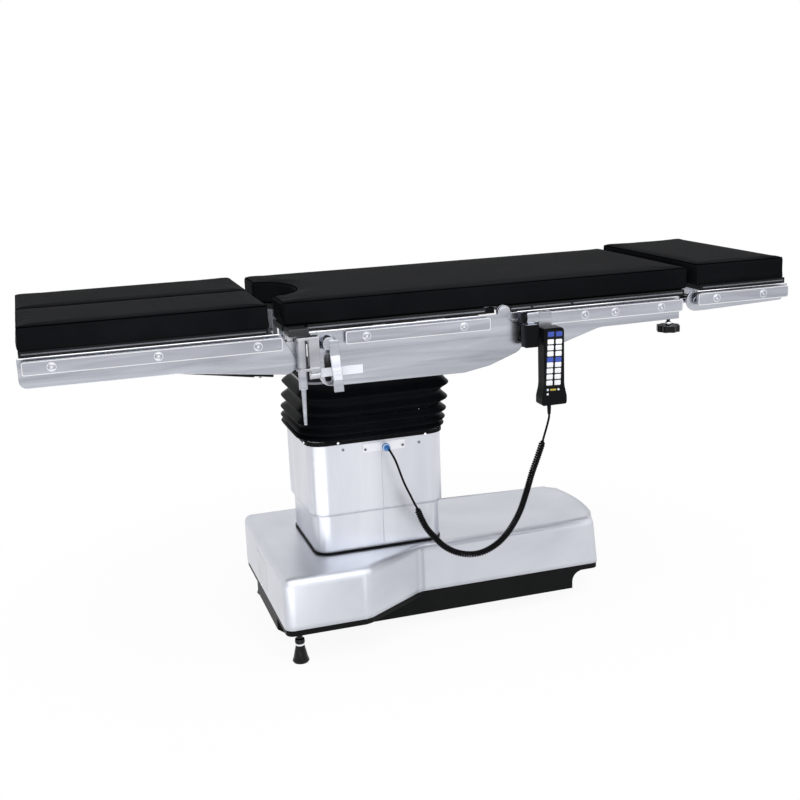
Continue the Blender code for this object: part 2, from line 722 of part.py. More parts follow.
def make_castors():
    """Swivel castors recessed in the foot end of the keel."""
    pieces = []
    for side in (-1, 1):
        y = side * CASTOR_Y
        x = CASTOR_X - CASTOR_TRAIL
        top = DECK_Z - 0.004
        cheek = WHEEL_T / 2 + 0.0015
        fork = cylinder("fork", (CASTOR_X, y, top - FORK_T / 2), 0.026, FORK_T, sides=20)
        stem = cylinder("stem", (CASTOR_X, y, top + 0.010), FOOT_STEM_R, 0.024, sides=16)
        parts = [stem]
        for flank in (-1, 1):
            inner, outer = y + flank * cheek, y + flank * (cheek + FORK_T)
            outline = rounded([(x - 0.010, WHEEL_Z - 0.010, 0.009), (x + 0.010, WHEEL_Z - 0.010, 0.009),
                               (CASTOR_X + 0.014, top - FORK_T / 2), (CASTOR_X - 0.018, top - FORK_T / 2)])
            parts.append(prism("cheek", outline, "y", inner, outer))
        parts.append(cylinder("axle", (x, y, WHEEL_Z), AXLE_R, WHEEL_T + 2 * FORK_T + 0.002, "y", 14))
        fork = finished(joined(fork, parts), f"castor_fork_{side_name(side)}", "steel")
        pieces += [fork, make_wheel(f"castor_wheel_{side_name(side)}", x, y)]
    return pieces


def make_rear_wheelset():
    """Two wheels on one axle at the head end, turning in the keel."""
    axle = cylinder("rear_wheelset", (REAR_AXLE_X, 0.0, WHEEL_Z), AXLE_R,
                    2 * (REAR_POCKET_HALF_W + 0.010), "y", 14)
    wheels = [cylinder("rear_wheel", (REAR_AXLE_X, side * REAR_WHEEL_Y, WHEEL_Z), WHEEL_R, WHEEL_T, "y", 24)
              for side in (-1, 1)]
    return finished(joined(axle, wheels), "rear_wheelset", "tyre")


def make_carriage():
    """The ram with its crown, the hangers of the upper sleeve and the ears of the fore-and-aft pivot."""
    half = MAST_W / 2 - MAST_WALL - RUNNING
    ram = box("lift_carriage", (COLUMN_X - half, COLUMN_X + half), (-half, half),
              (RAM_FOOT_Z, CROWN_Z + CROWN_T / 2))
    reach_x = UPPER_HALF_L - SLEEVE_WALL - SEAT
    reach_y = UPPER_HALF_W - SLEEVE_WALL - SEAT
    crown_z = (CROWN_Z, CROWN_Z + CROWN_T)
    parts = [box("crown", (COLUMN_X - half - 0.02, COLUMN_X + half + 0.02),
                 (-TREND_EAR_Y - EAR_T - 0.006, TREND_EAR_Y + EAR_T + 0.006), crown_z),
             box("arm_x", (COLUMN_X - reach_x, COLUMN_X + reach_x), (-HANGER_W / 2, HANGER_W / 2), crown_z),
             box("arm_y", (COLUMN_X - HANGER_W / 2, COLUMN_X + HANGER_W / 2), (-reach_y, reach_y), crown_z)]
    hanger_z = (BELLOWS_FOOT_Z - 0.020, CROWN_Z + CROWN_T / 2)
    for side in (-1, 1):
        x = COLUMN_X + side * reach_x
        parts.append(box("hanger_x", (x, x - side * HANGER_T), (-HANGER_W / 2, HANGER_W / 2), hanger_z))
        parts.append(box("hanger_y", (COLUMN_X - HANGER_W / 2, COLUMN_X + HANGER_W / 2),
                         (side * reach_y, side * (reach_y - HANGER_T)), hanger_z))
        y = side * TREND_EAR_Y
        ear = [(COLUMN_X - EAR_R, CROWN_Z + CROWN_T / 2)]
        ear += [(COLUMN_X + EAR_R, CROWN_Z + CROWN_T / 2)]
        ear += arc((COLUMN_X, TREND_Z), EAR_R, 0, 180, 10)
        parts.append(prism("trend_ear", ear, "y", y, y + side * EAR_T))
    joined(ram, parts)
    pin = cylinder("trend_bore", (COLUMN_X, 0.0, TREND_Z), PIVOT_R + RUNNING, 0.4, "y", 24)
    return finished(cut(ram, [pin]), "lift_carriage", "steel")


def make_upper_sleeve():
    """The moving stainless sleeve, and the clamp frame that holds the bellows to it."""
    head = BELLOWS_FOOT_Z + CLAMP_H
    sleeve = tube_of("upper_column_sleeve", UPPER_HALF_L, UPPER_HALF_W, COLUMN_ROUND,
                     UPPER_FOOT_Z, head, SLEEVE_WALL)
    finished(sleeve, "upper_column_sleeve", "stainless", smooth=True)
    out = CLAMP_OUT
    clamp = tube_of("bellows_clamp", UPPER_HALF_L + SEAT + out, UPPER_HALF_W + SEAT + out,
                    COLUMN_ROUND + out, BELLOWS_FOOT_Z, BELLOWS_FOOT_Z + CLAMP_H - 0.002, out)
    finished(clamp, "bellows_clamp", "black_plastic")
    return [sleeve, clamp]


def make_bellows():
    """Folded rubber bellows: crests of growing spread, and a wall that follows the folds inside."""
    foot = BELLOWS_FOOT_Z + CLAMP_H - 0.002 + SEAT
    stations = [(foot, VALLEY_OUT)]
    previous = None
    for crest, out in zip(CREST_Z, CREST_OUT):
        if previous is not None:
            stations.append(((previous + crest) / 2, VALLEY_OUT))
        stations.append((max(crest, foot + 0.004), out))
        previous = crest
    stations.append((BELLOWS_HEAD_Z - 0.012, VALLEY_OUT))
    stations.append((BELLOWS_HEAD_Z, VALLEY_OUT + 0.006))
    loops = []
    for z, out in stations:
        loops.append(at_height(rounded_rectangle(UPPER_HALF_L + out, UPPER_HALF_W + out,
                                                 COLUMN_ROUND + out, COLUMN_X), z))
    for z, out in reversed(stations):
        inside = out - BELLOWS_WALL if out > VALLEY_OUT + 0.007 else VALLEY_OUT - BELLOWS_WALL
        loops.append(at_height(rounded_rectangle(UPPER_HALF_L + inside, UPPER_HALF_W + inside,
                                                 COLUMN_ROUND + inside, COLUMN_X), z))
    return finished(ring("bellows", loops), "bellows", "black_rubber", smooth=True)


def make_tilt_head():
    """The cross that tilts fore and aft, and the saddle that rolls on it and carries the top."""
    ear_y = TREND_EAR_Y - RUNNING
    cross = cylinder("tilt_cross", (COLUMN_X, 0.0, TREND_Z), EAR_R - 0.003, 2 * ear_y, "y", 20)
    parts = [cylinder("trend_pin", (COLUMN_X, 0.0, TREND_Z), PIVOT_R, 2 * (TREND_EAR_Y + EAR_T), "y", 16)]
    inner = ROLL_EAR_X - RUNNING
    parts.append(cylinder("roll_hub", (COLUMN_X, 0.0, ROLL_Z), EAR_R - 0.004, 2 * inner, "x", 20))
    parts.append(cylinder("roll_pin", (COLUMN_X, 0.0, ROLL_Z), PIVOT_R, 2 * (ROLL_EAR_X + EAR_T), "x", 16))
    parts.append(box("cross_web", (COLUMN_X - 0.020, COLUMN_X + 0.020), (-CROSS_HALF, CROSS_HALF),
                     (TREND_Z, ROLL_Z)))
    finished(joined(cross, parts), "tilt_cross", "steel")
    saddle = make_saddle()
    return [cross, saddle]


def make_saddle():
    """Saddle: ears on the roll pin, a pan for the bellows, and four blocks that grip the slide rails."""
    carrier_top = CARRIER_Z + CARRIER_T
    reach_x = BLOCK_STATION + BLOCK_L / 2
    grip_y = SLIDE_RAIL_Y + SLIDE_RAIL_W / 2 + RUNNING + BLOCK_WALL
    saddle = box("tilt_saddle", (COLUMN_X - reach_x, COLUMN_X + reach_x), (-grip_y, grip_y),
                 (CARRIER_Z, carrier_top))
    parts = []
    for side in (-1, 1):
        x = COLUMN_X + side * ROLL_EAR_X
        parts.append(box("roll_ear", (x, x + side * EAR_T), (-EAR_R, EAR_R), (ROLL_Z, CARRIER_Z + 0.002)))
        parts.append(cylinder("roll_ear_foot", (x + side * EAR_T / 2, 0.0, ROLL_Z), EAR_R, EAR_T, "x", 20))
        wall_x = (COLUMN_X + side * (reach_x - 0.012), COLUMN_X + side * (reach_x - 0.002))
        parts.append(box("pan_post", wall_x, (-0.10, 0.10), (PAN_Z + 0.001, CARRIER_Z + 0.002)))
        rail_y = side * SLIDE_RAIL_Y
        for end in (-1, 1):
            x = COLUMN_X + end * BLOCK_STATION
            half_w = SLIDE_RAIL_W / 2 + RUNNING + BLOCK_WALL
            block_top = FRAME_TOP - BAR_H - 0.002
            parts.append(box("block", (x - BLOCK_L / 2, x + BLOCK_L / 2), (rail_y - half_w, rail_y + half_w),
                             (carrier_top - 0.002, block_top)))
    pan_l, pan_w = UPPER_HALF_L + VALLEY_OUT - 0.002, UPPER_HALF_W + VALLEY_OUT + 0.004
    pan = prism("pan", rounded_rectangle(pan_l, pan_w, COLUMN_ROUND, COLUMN_X), "z", PAN_Z, PAN_Z + PAN_T)
    parts.append(pan)
    joined(saddle, parts)
    hole_l, hole_w = pan_l - PAN_LIP, pan_w - PAN_LIP
    tools = [box("pan_hole", (COLUMN_X - reach_x + 0.014, COLUMN_X + reach_x - 0.014), (-hole_w, hole_w),
                 (PAN_Z - 0.01, PAN_Z + PAN_T + 0.0001)),
             cylinder("roll_bore", (COLUMN_X, 0.0, ROLL_Z), PIVOT_R + RUNNING, 0.4, "x", 24)]
    for side in (-1, 1):
        rail_y = side * SLIDE_RAIL_Y
        half_w = SLIDE_RAIL_W / 2 + RUNNING
        rail_foot = FRAME_TOP - BAR_H - SLIDE_RAIL_H
        tools.append(box("rail_groove", (COLUMN_X - 0.3, COLUMN_X + 0.3), (rail_y - half_w, rail_y + half_w),
                         (rail_foot - RUNNING, FRAME_TOP)))
    cut(saddle, tools)
    return finished(saddle, "tilt_saddle", "steel")


def cross_bars(stations, top, half_w):
    """Square tubes across a section, reaching a little into its side plates."""
    return [box("cross_bar", (x - BAR_T / 2, x + BAR_T / 2), (-half_w, half_w),
                (top - BAR_H, top)) for x in stations]


def seat_plate_outline():
    """The seat's side plate: ear at the foot end, deep web, and the nose under the back hinge."""
    top, foot = FRAME_TOP, FRAME_TOP - SEAT_PLATE_DEPTH
    boss_x = BACK_HINGE_X
    corners = [(EAR_FOOT_X, top), (EAR_FOOT_X, foot + 0.004, EAR_ROUND), (boss_x - 0.075, foot, 0.20),
               (NOSE_X, top - NOSE_DEPTH, 0.030), (NOSE_X, top - 0.045, 0.010),
               (boss_x + 0.006, top - 0.012), (boss_x - 0.010, top)]
    return rounded(corners)


def make_seat_frame():
    """Two deep side plates, cross bars, the slide rails and the stub pins of the back hinge."""
    frame = prism("seat_frame", seat_plate_outline(), "y", -OUTER_LAYER_Y, -OUTER_LAYER_Y - PLATE_T)
    parts = [prism("plate", seat_plate_outline(), "y", OUTER_LAYER_Y, OUTER_LAYER_Y + PLATE_T)]
    parts += cross_bars(SEAT_BARS_X, FRAME_TOP, OUTER_LAYER_Y + 0.002)
    rail_top = FRAME_TOP - BAR_H + 0.002
    cutters = []
    for side in (-1, 1):
        y = side * SLIDE_RAIL_Y
        parts.append(box("slide_rail", (SLIDE_RAIL_FOOT_X, SLIDE_RAIL_HEAD_X),
                         (y - SLIDE_RAIL_W / 2, y + SLIDE_RAIL_W / 2),
                         (FRAME_TOP - BAR_H - SLIDE_RAIL_H, rail_top)))
        outer = OUTER_LAYER_Y + PLATE_T
        centre = (BACK_HINGE_X, side * (OUTER_LAYER_Y + PLATE_T / 2), BACK_HINGE_Z)
        parts.append(cylinder("boss", centre, HINGE_BOSS_R, PLATE_T, "y", 24))
        inner = INNER_LAYER_Y - 0.001
        middle = (BACK_HINGE_X, side * (inner + outer) / 2, BACK_HINGE_Z)
        parts.append(cylinder("hinge_pin", middle, HINGE_PIN_R, outer - inner, "y", 20))
        disc = (BACK_HINGE_X, side * (outer + HINGE_DISC_T / 2 - 0.0005), BACK_HINGE_Z)
        parts.append(cylinder("hinge_disc", disc, HINGE_DISC_R, HINGE_DISC_T + 0.001, "y", 24))
        slot_z = FRAME_TOP - EAR_SLOT_DROP
        slot = rounded([(EAR_SLOT_X - EAR_SLOT_W / 2, slot_z - EAR_SLOT_H / 2, EAR_SLOT_W / 2),
                        (EAR_SLOT_X + EAR_SLOT_W / 2, slot_z - EAR_SLOT_H / 2, EAR_SLOT_W / 2),
                        (EAR_SLOT_X + EAR_SLOT_W / 2, slot_z + EAR_SLOT_H / 2, EAR_SLOT_W / 2),
                        (EAR_SLOT_X - EAR_SLOT_W / 2, slot_z + EAR_SLOT_H / 2, EAR_SLOT_W / 2)])
        cutters.append(prism("ear_slot", slot, "y", side * (OUTER_LAYER_Y - 0.01), side * (outer + 0.01)))
    cut(joined(frame, parts), cutters)
    return finished(frame, "seat_frame", "stainless")


def perineal_outline(depth, half_w, foot_x):
    """A half ellipse that opens at the foot end of the seat."""
    points = [(foot_x - 0.02, -half_w)]
    for i in range(13):
        angle = math.pi * (i / 12 - 0.5)
        points.append((foot_x + depth * math.cos(angle), half_w * math.sin(angle)))
    points.append((foot_x - 0.02, half_w))
    return points


def make_seat_top():
    """Board and pad of the seat, both with the perineal cut-out."""
    cut_out = perineal_outline(PERINEAL_DEPTH, PERINEAL_HALF_W, SEAT_FOOT_X)
    board = box("seat_board", (SEAT_FOOT_X + BOARD_SHADOW, BACK_HINGE_X - HINGE_BOARD_INSET),
                (-BOARD_HALF_W, BOARD_HALF_W), (BOARD_Z, BOARD_Z + BOARD_T))
    cutters = [prism("board_cut", cut_out, "z", BOARD_Z - 0.01, BOARD_Z + BOARD_T + 0.01)]
    notch_x = (SEAT_FOOT_X - 0.02, EAR_FOOT_X - 0.018)
    cutters += [box("board_notch", notch_x, (side * (CAP_Y - CAP_CLEARANCE), side * (BOARD_HALF_W + 0.02)),
                    (BOARD_Z - 0.01, BOARD_Z + BOARD_T + 0.01)) for side in (-1, 1)]
    cut(board, cutters)
    pad = box("seat_pad", (SEAT_FOOT_X, BACK_HINGE_X - SEAT), (-SEAT_PAD_HALF_W, SEAT_PAD_HALF_W),
              (PAD_Z, PAD_Z + PAD_T), PAD_ROUND, 2)
    cut(pad, [prism("pad_cut", cut_out, "z", PAD_Z - 0.01, PAD_Z + PAD_T + 0.01)])
    return [finished(board, "seat_board", "board"), finished(pad, "seat_pad", "pad_cover")]


def make_rail(name, x0, x1, top, side, plate_outer, stations):
    """A side rail with round ends, on spacer bosses that reach its plate at parts of its length."""
    outline = rounded([(x0, top - RAIL_H, RAIL_END_ROUND), (x1, top - RAIL_H, RAIL_END_ROUND),
                       (x1, top, RAIL_END_ROUND), (x0, top, RAIL_END_ROUND)], math.radians(30))
    rail = prism(name, outline, "y", side * RAIL_Y, side * (RAIL_Y + RAIL_T))
    start = plate_outer + SEAT
    bosses = []
    for part in stations:
        centre = (x0 + (x1 - x0) * part, side * (start + RAIL_Y + 0.002) / 2, top - RAIL_H / 2)
        bosses.append(cylinder("boss", centre, RAIL_BOSS_R, RAIL_Y + 0.002 - start, "y", 14))
    return finished(joined(rail, bosses), name, "stainless")


def make_seat_rails():
    outer = OUTER_LAYER_Y + PLATE_T
    return [make_rail(f"seat_rail_{side_name(side)}", EAR_FOOT_X + 0.068, BACK_HINGE_X - 0.043,
                      FRAME_TOP - RAIL_DROP, side, outer, SEAT_RAIL_BOSSES) for side in (-1, 1)]


def make_side_lever(side):
    """Clamp lever on the seat's ear: a tapered hub and a flat handle that hangs from it."""
    z = FRAME_TOP - LEVER_DROP
    start = OUTER_LAYER_Y + PLATE_T + SEAT
    end = start + LEVER_HUB_L
    cone = (LEVER_HUB_R, LEVER_HUB_TIP_R) if side > 0 else (LEVER_HUB_TIP_R, LEVER_HUB_R)
    hub = cylinder("hub", (EAR_SLOT_X, side * (start + end) / 2, z), cone[0], LEVER_HUB_L, "y", 20, cone[1])
    shape = bmesh.new()
    rows = [(0.008, 0.0), (-0.25 * LEVER_L, 0.0), (-0.75 * LEVER_L, LEVER_BEND), (-LEVER_L, LEVER_BEND)]
    lean = 0.03
    loops = []
    for drop, out in rows:
        x = EAR_SLOT_X + 0.012 - lean * drop
        inner, outer = end - 0.002 + out, end + LEVER_T - 0.002 + out
        loops.append([shape.verts.new((x + dx, side * y, z + drop))
                      for dx, y in ((-LEVER_W / 2, inner), (LEVER_W / 2, inner),
                                    (LEVER_W / 2, outer), (-LEVER_W / 2, outer))])
    for low, high in zip(loops, loops[1:]):
        for j in range(4):
            shape.faces.new((low[j], low[(j + 1) % 4], high[(j + 1) % 4], high[j]))
    shape.faces.new(loops[0])
    shape.faces.new(loops[-1])
    handle = mesh_object("handle", shape)
    name = f"side_lever_{side_name(side)}"
    return finished(joined(hub, [handle]), name, "stainless")


def make_leg_bracket(side):
    """C-shaped yoke on the seat's ear, with the post that the leg section swings on."""
    name = f"leg_bracket_{side_name(side)}"
    head = EAR_FOOT_X - SEAT
    web_foot = head - 0.026
    y = side * POST_Y
    web = box(name, (web_foot, head), (y - YOKE_WEB_T / 2, y + YOKE_WEB_T / 2), (YOKE_FOOT_Z, YOKE_TOP_Z))
    parts = []
    for z in (YOKE_FOOT_Z, YOKE_TOP_Z - YOKE_PLATE_T):
        parts.append(box("yoke_plate", (POST_X, head), (y - YOKE_R, y + YOKE_R), (z, z + YOKE_PLATE_T)))
        parts.append(cylinder("yoke_eye", (POST_X, y, z + YOKE_PLATE_T / 2), YOKE_R, YOKE_PLATE_T, sides=24))
    post_foot = YOKE_FOOT_Z - LOCK_NUT_H + 0.012
    parts.append(cylinder("post", (POST_X, y, (post_foot + YOKE_TOP_Z) / 2), POST_R,
                          YOKE_TOP_Z - post_foot, sides=18))
    screw_z = YOKE_FOOT_Z - 0.014
    parts.append(cylinder("clamp_boss", ((web_foot + head) / 2 + 0.001, y, screw_z), CLAMP_SCREW_R,
                          head - web_foot - 0.002, "x", 16))
    parts.append(box("boss_neck", (web_foot + 0.004, head - 0.002), (y - 0.006, y + 0.006),
                     (screw_z, YOKE_FOOT_Z + 0.003)))
    return finished(joined(web, parts), name, "stainless")


def make_lock_handle(side):
    """Lock nut under the yoke with its tapered hanging handle."""
    name = f"leg_lock_handle_{side_name(side)}"
    y = side * POST_Y
    top = YOKE_FOOT_Z - SEAT
    nut = cylinder(name, (POST_X, y, top - LOCK_NUT_H / 2), LOCK_NUT_R, LOCK_NUT_H, sides=20)
    foot = top - LOCK_NUT_H
    handle = cylinder("handle", (POST_X, y, foot - HANDLE_L / 2 + 0.002), HANDLE_TIP_R,
                      HANDLE_L, sides=14, tip_radius=HANDLE_R)
    bore_foot = YOKE_FOOT_Z - LOCK_NUT_H + 0.012 - 0.001
    bore = cylinder("bore", (POST_X, y, (bore_foot + top + 0.01) / 2), POST_R + RUNNING,
                    top + 0.01 - bore_foot, sides=18)
    return finished(cut(joined(nut, [handle]), [bore]), name, "stainless")


def make_leg_knuckle(side):
    """The piece that swings on the post: sleeve, hinge block with the knee pin, and its dark top cap."""
    name = f"leg_knuckle_{side_name(side)}"
    y = side * POST_Y
    low, high = YOKE_FOOT_Z + YOKE_PLATE_T + SEAT, YOKE_TOP_Z - YOKE_PLATE_T - SEAT
    sleeve = cylinder(name, (POST_X, y, (low + high) / 2), SLEEVE_R, high - low, sides=24)
    web_x = (POST_X - 0.0065, POST_X + 0.0075)
    block_y = (side * KNUCKLE_BLOCK_Y, side * (INNER_LAYER_Y - SEAT))
    block_foot, block_top = KNEE_Z - 0.020, high - 0.006
    parts = [box("web", web_x, (side * KNUCKLE_BLOCK_Y, y - side * 0.004), (block_foot + 0.012, block_top)),
             box("block", (KNEE_X - 0.022, web_x[1]), block_y, (block_foot, block_top)),
             cylinder("knee_pin", (KNEE_X, side * (LEG_CHEEK_Y + INNER_LAYER_Y + PLATE_T - PIN_SHORT) / 2, KNEE_Z),
                      KNEE_PIN_R, INNER_LAYER_Y + PLATE_T - PIN_SHORT - LEG_CHEEK_Y, "y", 20)]
    cap_foot = YOKE_TOP_Z + 0.002
    cap_y = (side * CAP_Y, side * (RAIL_Y + RAIL_T + 0.004))
    cap_x = (KNEE_X + 0.007, POST_X + 0.018)
    parts.append(box("cap", cap_x, cap_y, (cap_foot, BOARD_Z + BOARD_T - 0.002), 0.003))
    parts.append(box("cap_stem", (KNEE_X + 0.009, web_x[0] - 0.012 + 0.006), (block_y[0] + side * 0.006,
                     side * (INNER_LAYER_Y - 0.004)), (block_top - 0.002, cap_foot + 0.004)))
    joined(sleeve, parts)
    bore = cylinder("bore", (POST_X, y, (low + high) / 2), POST_R + RUNNING, high - low + 0.002, sides=18)
    return finished(cut(sleeve, [bore]), name, "cast_metal")


def leg_plate_outline(foot_x):
    """Side plate of a leg section: shallow along the foot, deeper at the knee, with a round tip."""
    top = FRAME_TOP
    shallow = top - LEG_PLATE_SHALLOW
    points = rounded([(foot_x, top), (foot_x, shallow + 0.001, 0.018), (LEG_PLATE_STEP_X, shallow, 0.05)] +
                     [(KNEE_X - 0.020, KNEE_Z - KNEE_R + 0.001)])[:-1]
    points += arc((KNEE_X, KNEE_Z), KNEE_R, -100, 35, 9)
    points += [(LEG_HEAD_X + 0.024, top)]
    return points


def make_leg_frame(side):
    """Frame of one leg section: outer plate, inner cheek and plate, and cross bars."""
    name = f"leg_frame_{side_name(side)}"
    foot_x = LEG_FOOT_X - 0.003
    outer = (side * INNER_LAYER_Y, side * (INNER_LAYER_Y + PLATE_T))
    frame = prism(name, leg_plate_outline(foot_x), "y", *outer)
    cheek_y = (side * LEG_CHEEK_Y, side * (LEG_CHEEK_Y + PLATE_T))
    cheek = [(KNEE_X - 0.16, FRAME_TOP), (KNEE_X - 0.16, FRAME_TOP - 0.03)]
    cheek += arc((KNEE_X, KNEE_Z), KNEE_R - 0.006, -120, 60, 9)
    cheek += [(LEG_HEAD_X - 0.004, FRAME_TOP)]
    parts = [prism("cheek", cheek, "y", *cheek_y)]
    inner_y = (side * (LEG_SPLIT + 0.006), side * (LEG_SPLIT + 0.006 + PLATE_T))
    parts.append(box("inner_plate", (foot_x + 0.02, LEG_HEAD_X - 0.030), inner_y,
                     (FRAME_TOP - 0.045, FRAME_TOP)))
    span = (side * (LEG_SPLIT + 0.007), side * (INNER_LAYER_Y + 0.002))
    for x in (foot_x + 0.060, (foot_x + LEG_HEAD_X) / 2, LEG_HEAD_X - 0.062):
        parts.append(box("bar", (x - BAR_T / 2, x + BAR_T / 2), span, (FRAME_TOP - BAR_H, FRAME_TOP)))
    joined(frame, parts)
    bore_end = INNER_LAYER_Y + PLATE_T - PIN_SHORT + 0.0004
    bore = cylinder("bore", (KNEE_X, side * (bore_end - 0.06), KNEE_Z), KNEE_PIN_R + RUNNING, 0.12,
                    "y", 20)
    return finished(cut(frame, [bore]), name, "stainless")


def make_leg_top(side):
    """Board and pad of one leg section."""
    where = side_name(side)
    board = box("board", (LEG_FOOT_X + BOARD_SHADOW, LEG_HEAD_X - BOARD_SHADOW * 2),
                (side * LEG_SPLIT, side * BOARD_HALF_W), (BOARD_Z, BOARD_Z + BOARD_T))
    pad = box("pad", (LEG_FOOT_X, LEG_HEAD_X), (side * LEG_SPLIT / 2, side * END_PAD_HALF_W),
              (PAD_Z, PAD_Z + PAD_T), PAD_ROUND, 2)
    return [finished(board, f"leg_board_{where}", "board"), finished(pad, f"leg_pad_{where}", "pad_cover")]


def make_legs():
    pieces = []
    for side in (-1, 1):
        pieces += [make_leg_frame(side), *make_leg_top(side)]
        pieces.append(make_rail(f"leg_rail_{side_name(side)}", LEG_FOOT_X + 0.006, LEG_HEAD_X + 0.023,
                                FRAME_TOP - RAIL_DROP, side, INNER_LAYER_Y + PLATE_T, LEG_RAIL_BOSSES))
    return pieces


def back_plate_outline():
    """Side plate of the back section: hinge eye, deep web, and a shallow arm towards the head."""
    top = FRAME_TOP
    deep, shallow = top - BACK_PLATE_DEPTH, top - BACK_PLATE_SHALLOW
    hinge = (BACK_HINGE_X, BACK_HINGE_Z)
    points = arc(hinge, HINGE_BOSS_R, 60, 250, 12)
    points += rounded([(BACK_HINGE_X + 0.002, top - 0.03), (BACK_HINGE_X + 0.040, deep, 0.02),
                       (BACK_STEP_X[0], deep, 0.05), (BACK_STEP_X[1], shallow - 0.001, 0.05),
                       (BACK_FRAME_HEAD_X, shallow + 0.001)])
    points += [(BACK_FRAME_HEAD_X, top), (BACK_HINGE_X + 0.022, top)]
    return points


def make_back_frame():
    """Back section: side plates on the inner layer, cross bars and the sockets of the head rods."""
    frame = prism("back_frame", back_plate_outline(), "y", -INNER_LAYER_Y, -INNER_LAYER_Y - PLATE_T)
    parts = [prism("plate", back_plate_outline(), "y", INNER_LAYER_Y, INNER_LAYER_Y + PLATE_T)]
    parts += cross_bars(BACK_BARS_X, FRAME_TOP, INNER_LAYER_Y + 0.002)
    cutters = []
    for side in (-1, 1):
        y = (side * (SOCKET_Y - SOCKET_W / 2), side * (INNER_LAYER_Y + 0.002))
        x = (BACK_FRAME_HEAD_X - SOCKET_L, BACK_FRAME_HEAD_X)
        z = HEAD_HINGE_Z
        parts.append(box("rod_socket", x, y, (z - SOCKET_H / 2, FRAME_TOP - 0.001)))
        boss_z = z - SOCKET_H / 2 - KNOB_BOSS_H / 2 + 0.001
        parts.append(cylinder("knob_boss", (KNOB_X, side * SOCKET_Y, boss_z), 0.010, KNOB_BOSS_H + 0.002,
                              sides=16))
        cutters.append(cylinder("rod_bore", (BACK_FRAME_HEAD_X - ROD_GRIP / 2, side * SOCKET_Y, z),
                                ROD_R + RUNNING, ROD_GRIP + 0.06, "x", 20))
        cutters.append(cylinder("knob_bore", (KNOB_X, side * SOCKET_Y, z - 0.020), KNOB_STEM_R + RUNNING,
                                0.040, sides=14))
        hinge = (BACK_HINGE_X, side * (INNER_LAYER_Y + PLATE_T / 2), BACK_HINGE_Z)
        cutters.append(cylinder("hinge_bore", hinge, HINGE_PIN_R + RUNNING, 0.04, "y", 24))
    return finished(cut(joined(frame, parts), cutters), "back_frame", "stainless")


def make_back_top():
    """Board and pad of the back section."""
    head = BACK_HINGE_X + BACK_PAD_LENGTH
    board = box("board", (BACK_HINGE_X + 0.024, head - 0.016), (-BOARD_HALF_W, BOARD_HALF_W),
                (BOARD_Z, BOARD_Z + BOARD_T))
    pad = box("pad", (BACK_HINGE_X + SEAT, head), (-SEAT_PAD_HALF_W, SEAT_PAD_HALF_W),
              (PAD_Z, PAD_Z + PAD_T), PAD_ROUND, 2)
    return [finished(board, "back_board", "board"), finished(pad, "back_pad", "pad_cover")]


def make_back_rails():
    return [make_rail(f"back_rail_{side_name(side)}", BACK_HINGE_X + 0.056, BACK_FRAME_HEAD_X - 0.002,
                      FRAME_TOP - RAIL_DROP, side, INNER_LAYER_Y + PLATE_T, BACK_RAIL_BOSSES)
            for side in (-1, 1)]


def make_head_bracket():
    """Two rods that plug into the back section, a tube between them, and the lugs of the head hinge."""
    z = HEAD_HINGE_Z
    lug_outer = INNER_LAYER_Y - SEAT
    lug_inner = lug_outer - HEAD_LUG_T
    tube_x = HEAD_X + 0.001
    bracket = cylinder("head_bracket", (tube_x, 0.0, z), HEAD_TUBE_R, 2 * lug_outer, "y", 20)
    parts = []
    for side in (-1, 1):
        rod_foot = BACK_FRAME_HEAD_X - ROD_GRIP
        parts.append(cylinder("rod", ((rod_foot + tube_x) / 2, side * SOCKET_Y, z), ROD_R,
                              tube_x - rod_foot, "x", 18))
        parts.append(cylinder("lug", (tube_x, side * (lug_inner + lug_outer) / 2, z), HEAD_LUG_R,
                              HEAD_LUG_T, "y", 24))
        parts.append(cylinder("head_pin", (tube_x, side * (lug_outer + PLATE_T / 2), z), HINGE_PIN_R,
                              PLATE_T + 0.002, "y", 18))
    return finished(joined(bracket, parts), "head_bracket", "stainless")


def head_plate_outline():
    """Side plate of the head section, round at the hinge and sloped at the far end."""
    top = HEAD_FRAME_TOP
    x, z = HEAD_X + 0.001, HEAD_HINGE_Z
    end = HEAD_X + HEAD_PLATE_LENGTH
    points = arc((x, z), HEAD_HINGE_R, 120, 270, 10)
    points += rounded([(x + 0.03, top - HEAD_PLATE_DEPTH[0]), (end - 0.022, top - HEAD_PLATE_DEPTH[1], 0.006),
                       (end, top - 0.022, 0.010), (end - 0.002, top)])
    return points


def make_head_frame():
    """Head section: side plates joined by cross bars."""
    frame = prism("head_frame", head_plate_outline(), "y", -INNER_LAYER_Y, -INNER_LAYER_Y - PLATE_T)
    parts = [prism("plate", head_plate_outline(), "y", INNER_LAYER_Y, INNER_LAYER_Y + PLATE_T)]
    parts += cross_bars(HEAD_BARS_X, HEAD_FRAME_TOP, INNER_LAYER_Y + 0.002)
    joined(frame, parts)
    bores = [cylinder("bore", (HEAD_X + 0.001, side * (INNER_LAYER_Y + PLATE_T / 2), HEAD_HINGE_Z),
                      HINGE_PIN_R + RUNNING, 0.03, "y", 20) for side in (-1, 1)]
    return finished(cut(frame, bores), "head_frame", "stainless")


def make_head_top():
    """Board and pad of the head section."""
    z = HEAD_FRAME_TOP + SEAT
    board = box("board", (HEAD_X + HEAD_BOARD_INSET, HEAD_X + HEAD_PLATE_LENGTH - 0.005),
                (-BOARD_HALF_W, BOARD_HALF_W), (z, z + BOARD_T))
    pad_z = z + BOARD_T + SEAT
    pad = box("pad", (HEAD_X, HEAD_X + HEAD_PAD_LENGTH), (-END_PAD_HALF_W, END_PAD_HALF_W),
              (pad_z, pad_z + PAD_T), PAD_ROUND, 2)
    return [finished(board, "head_board", "board"), finished(pad, "head_pad", "pad_cover")]


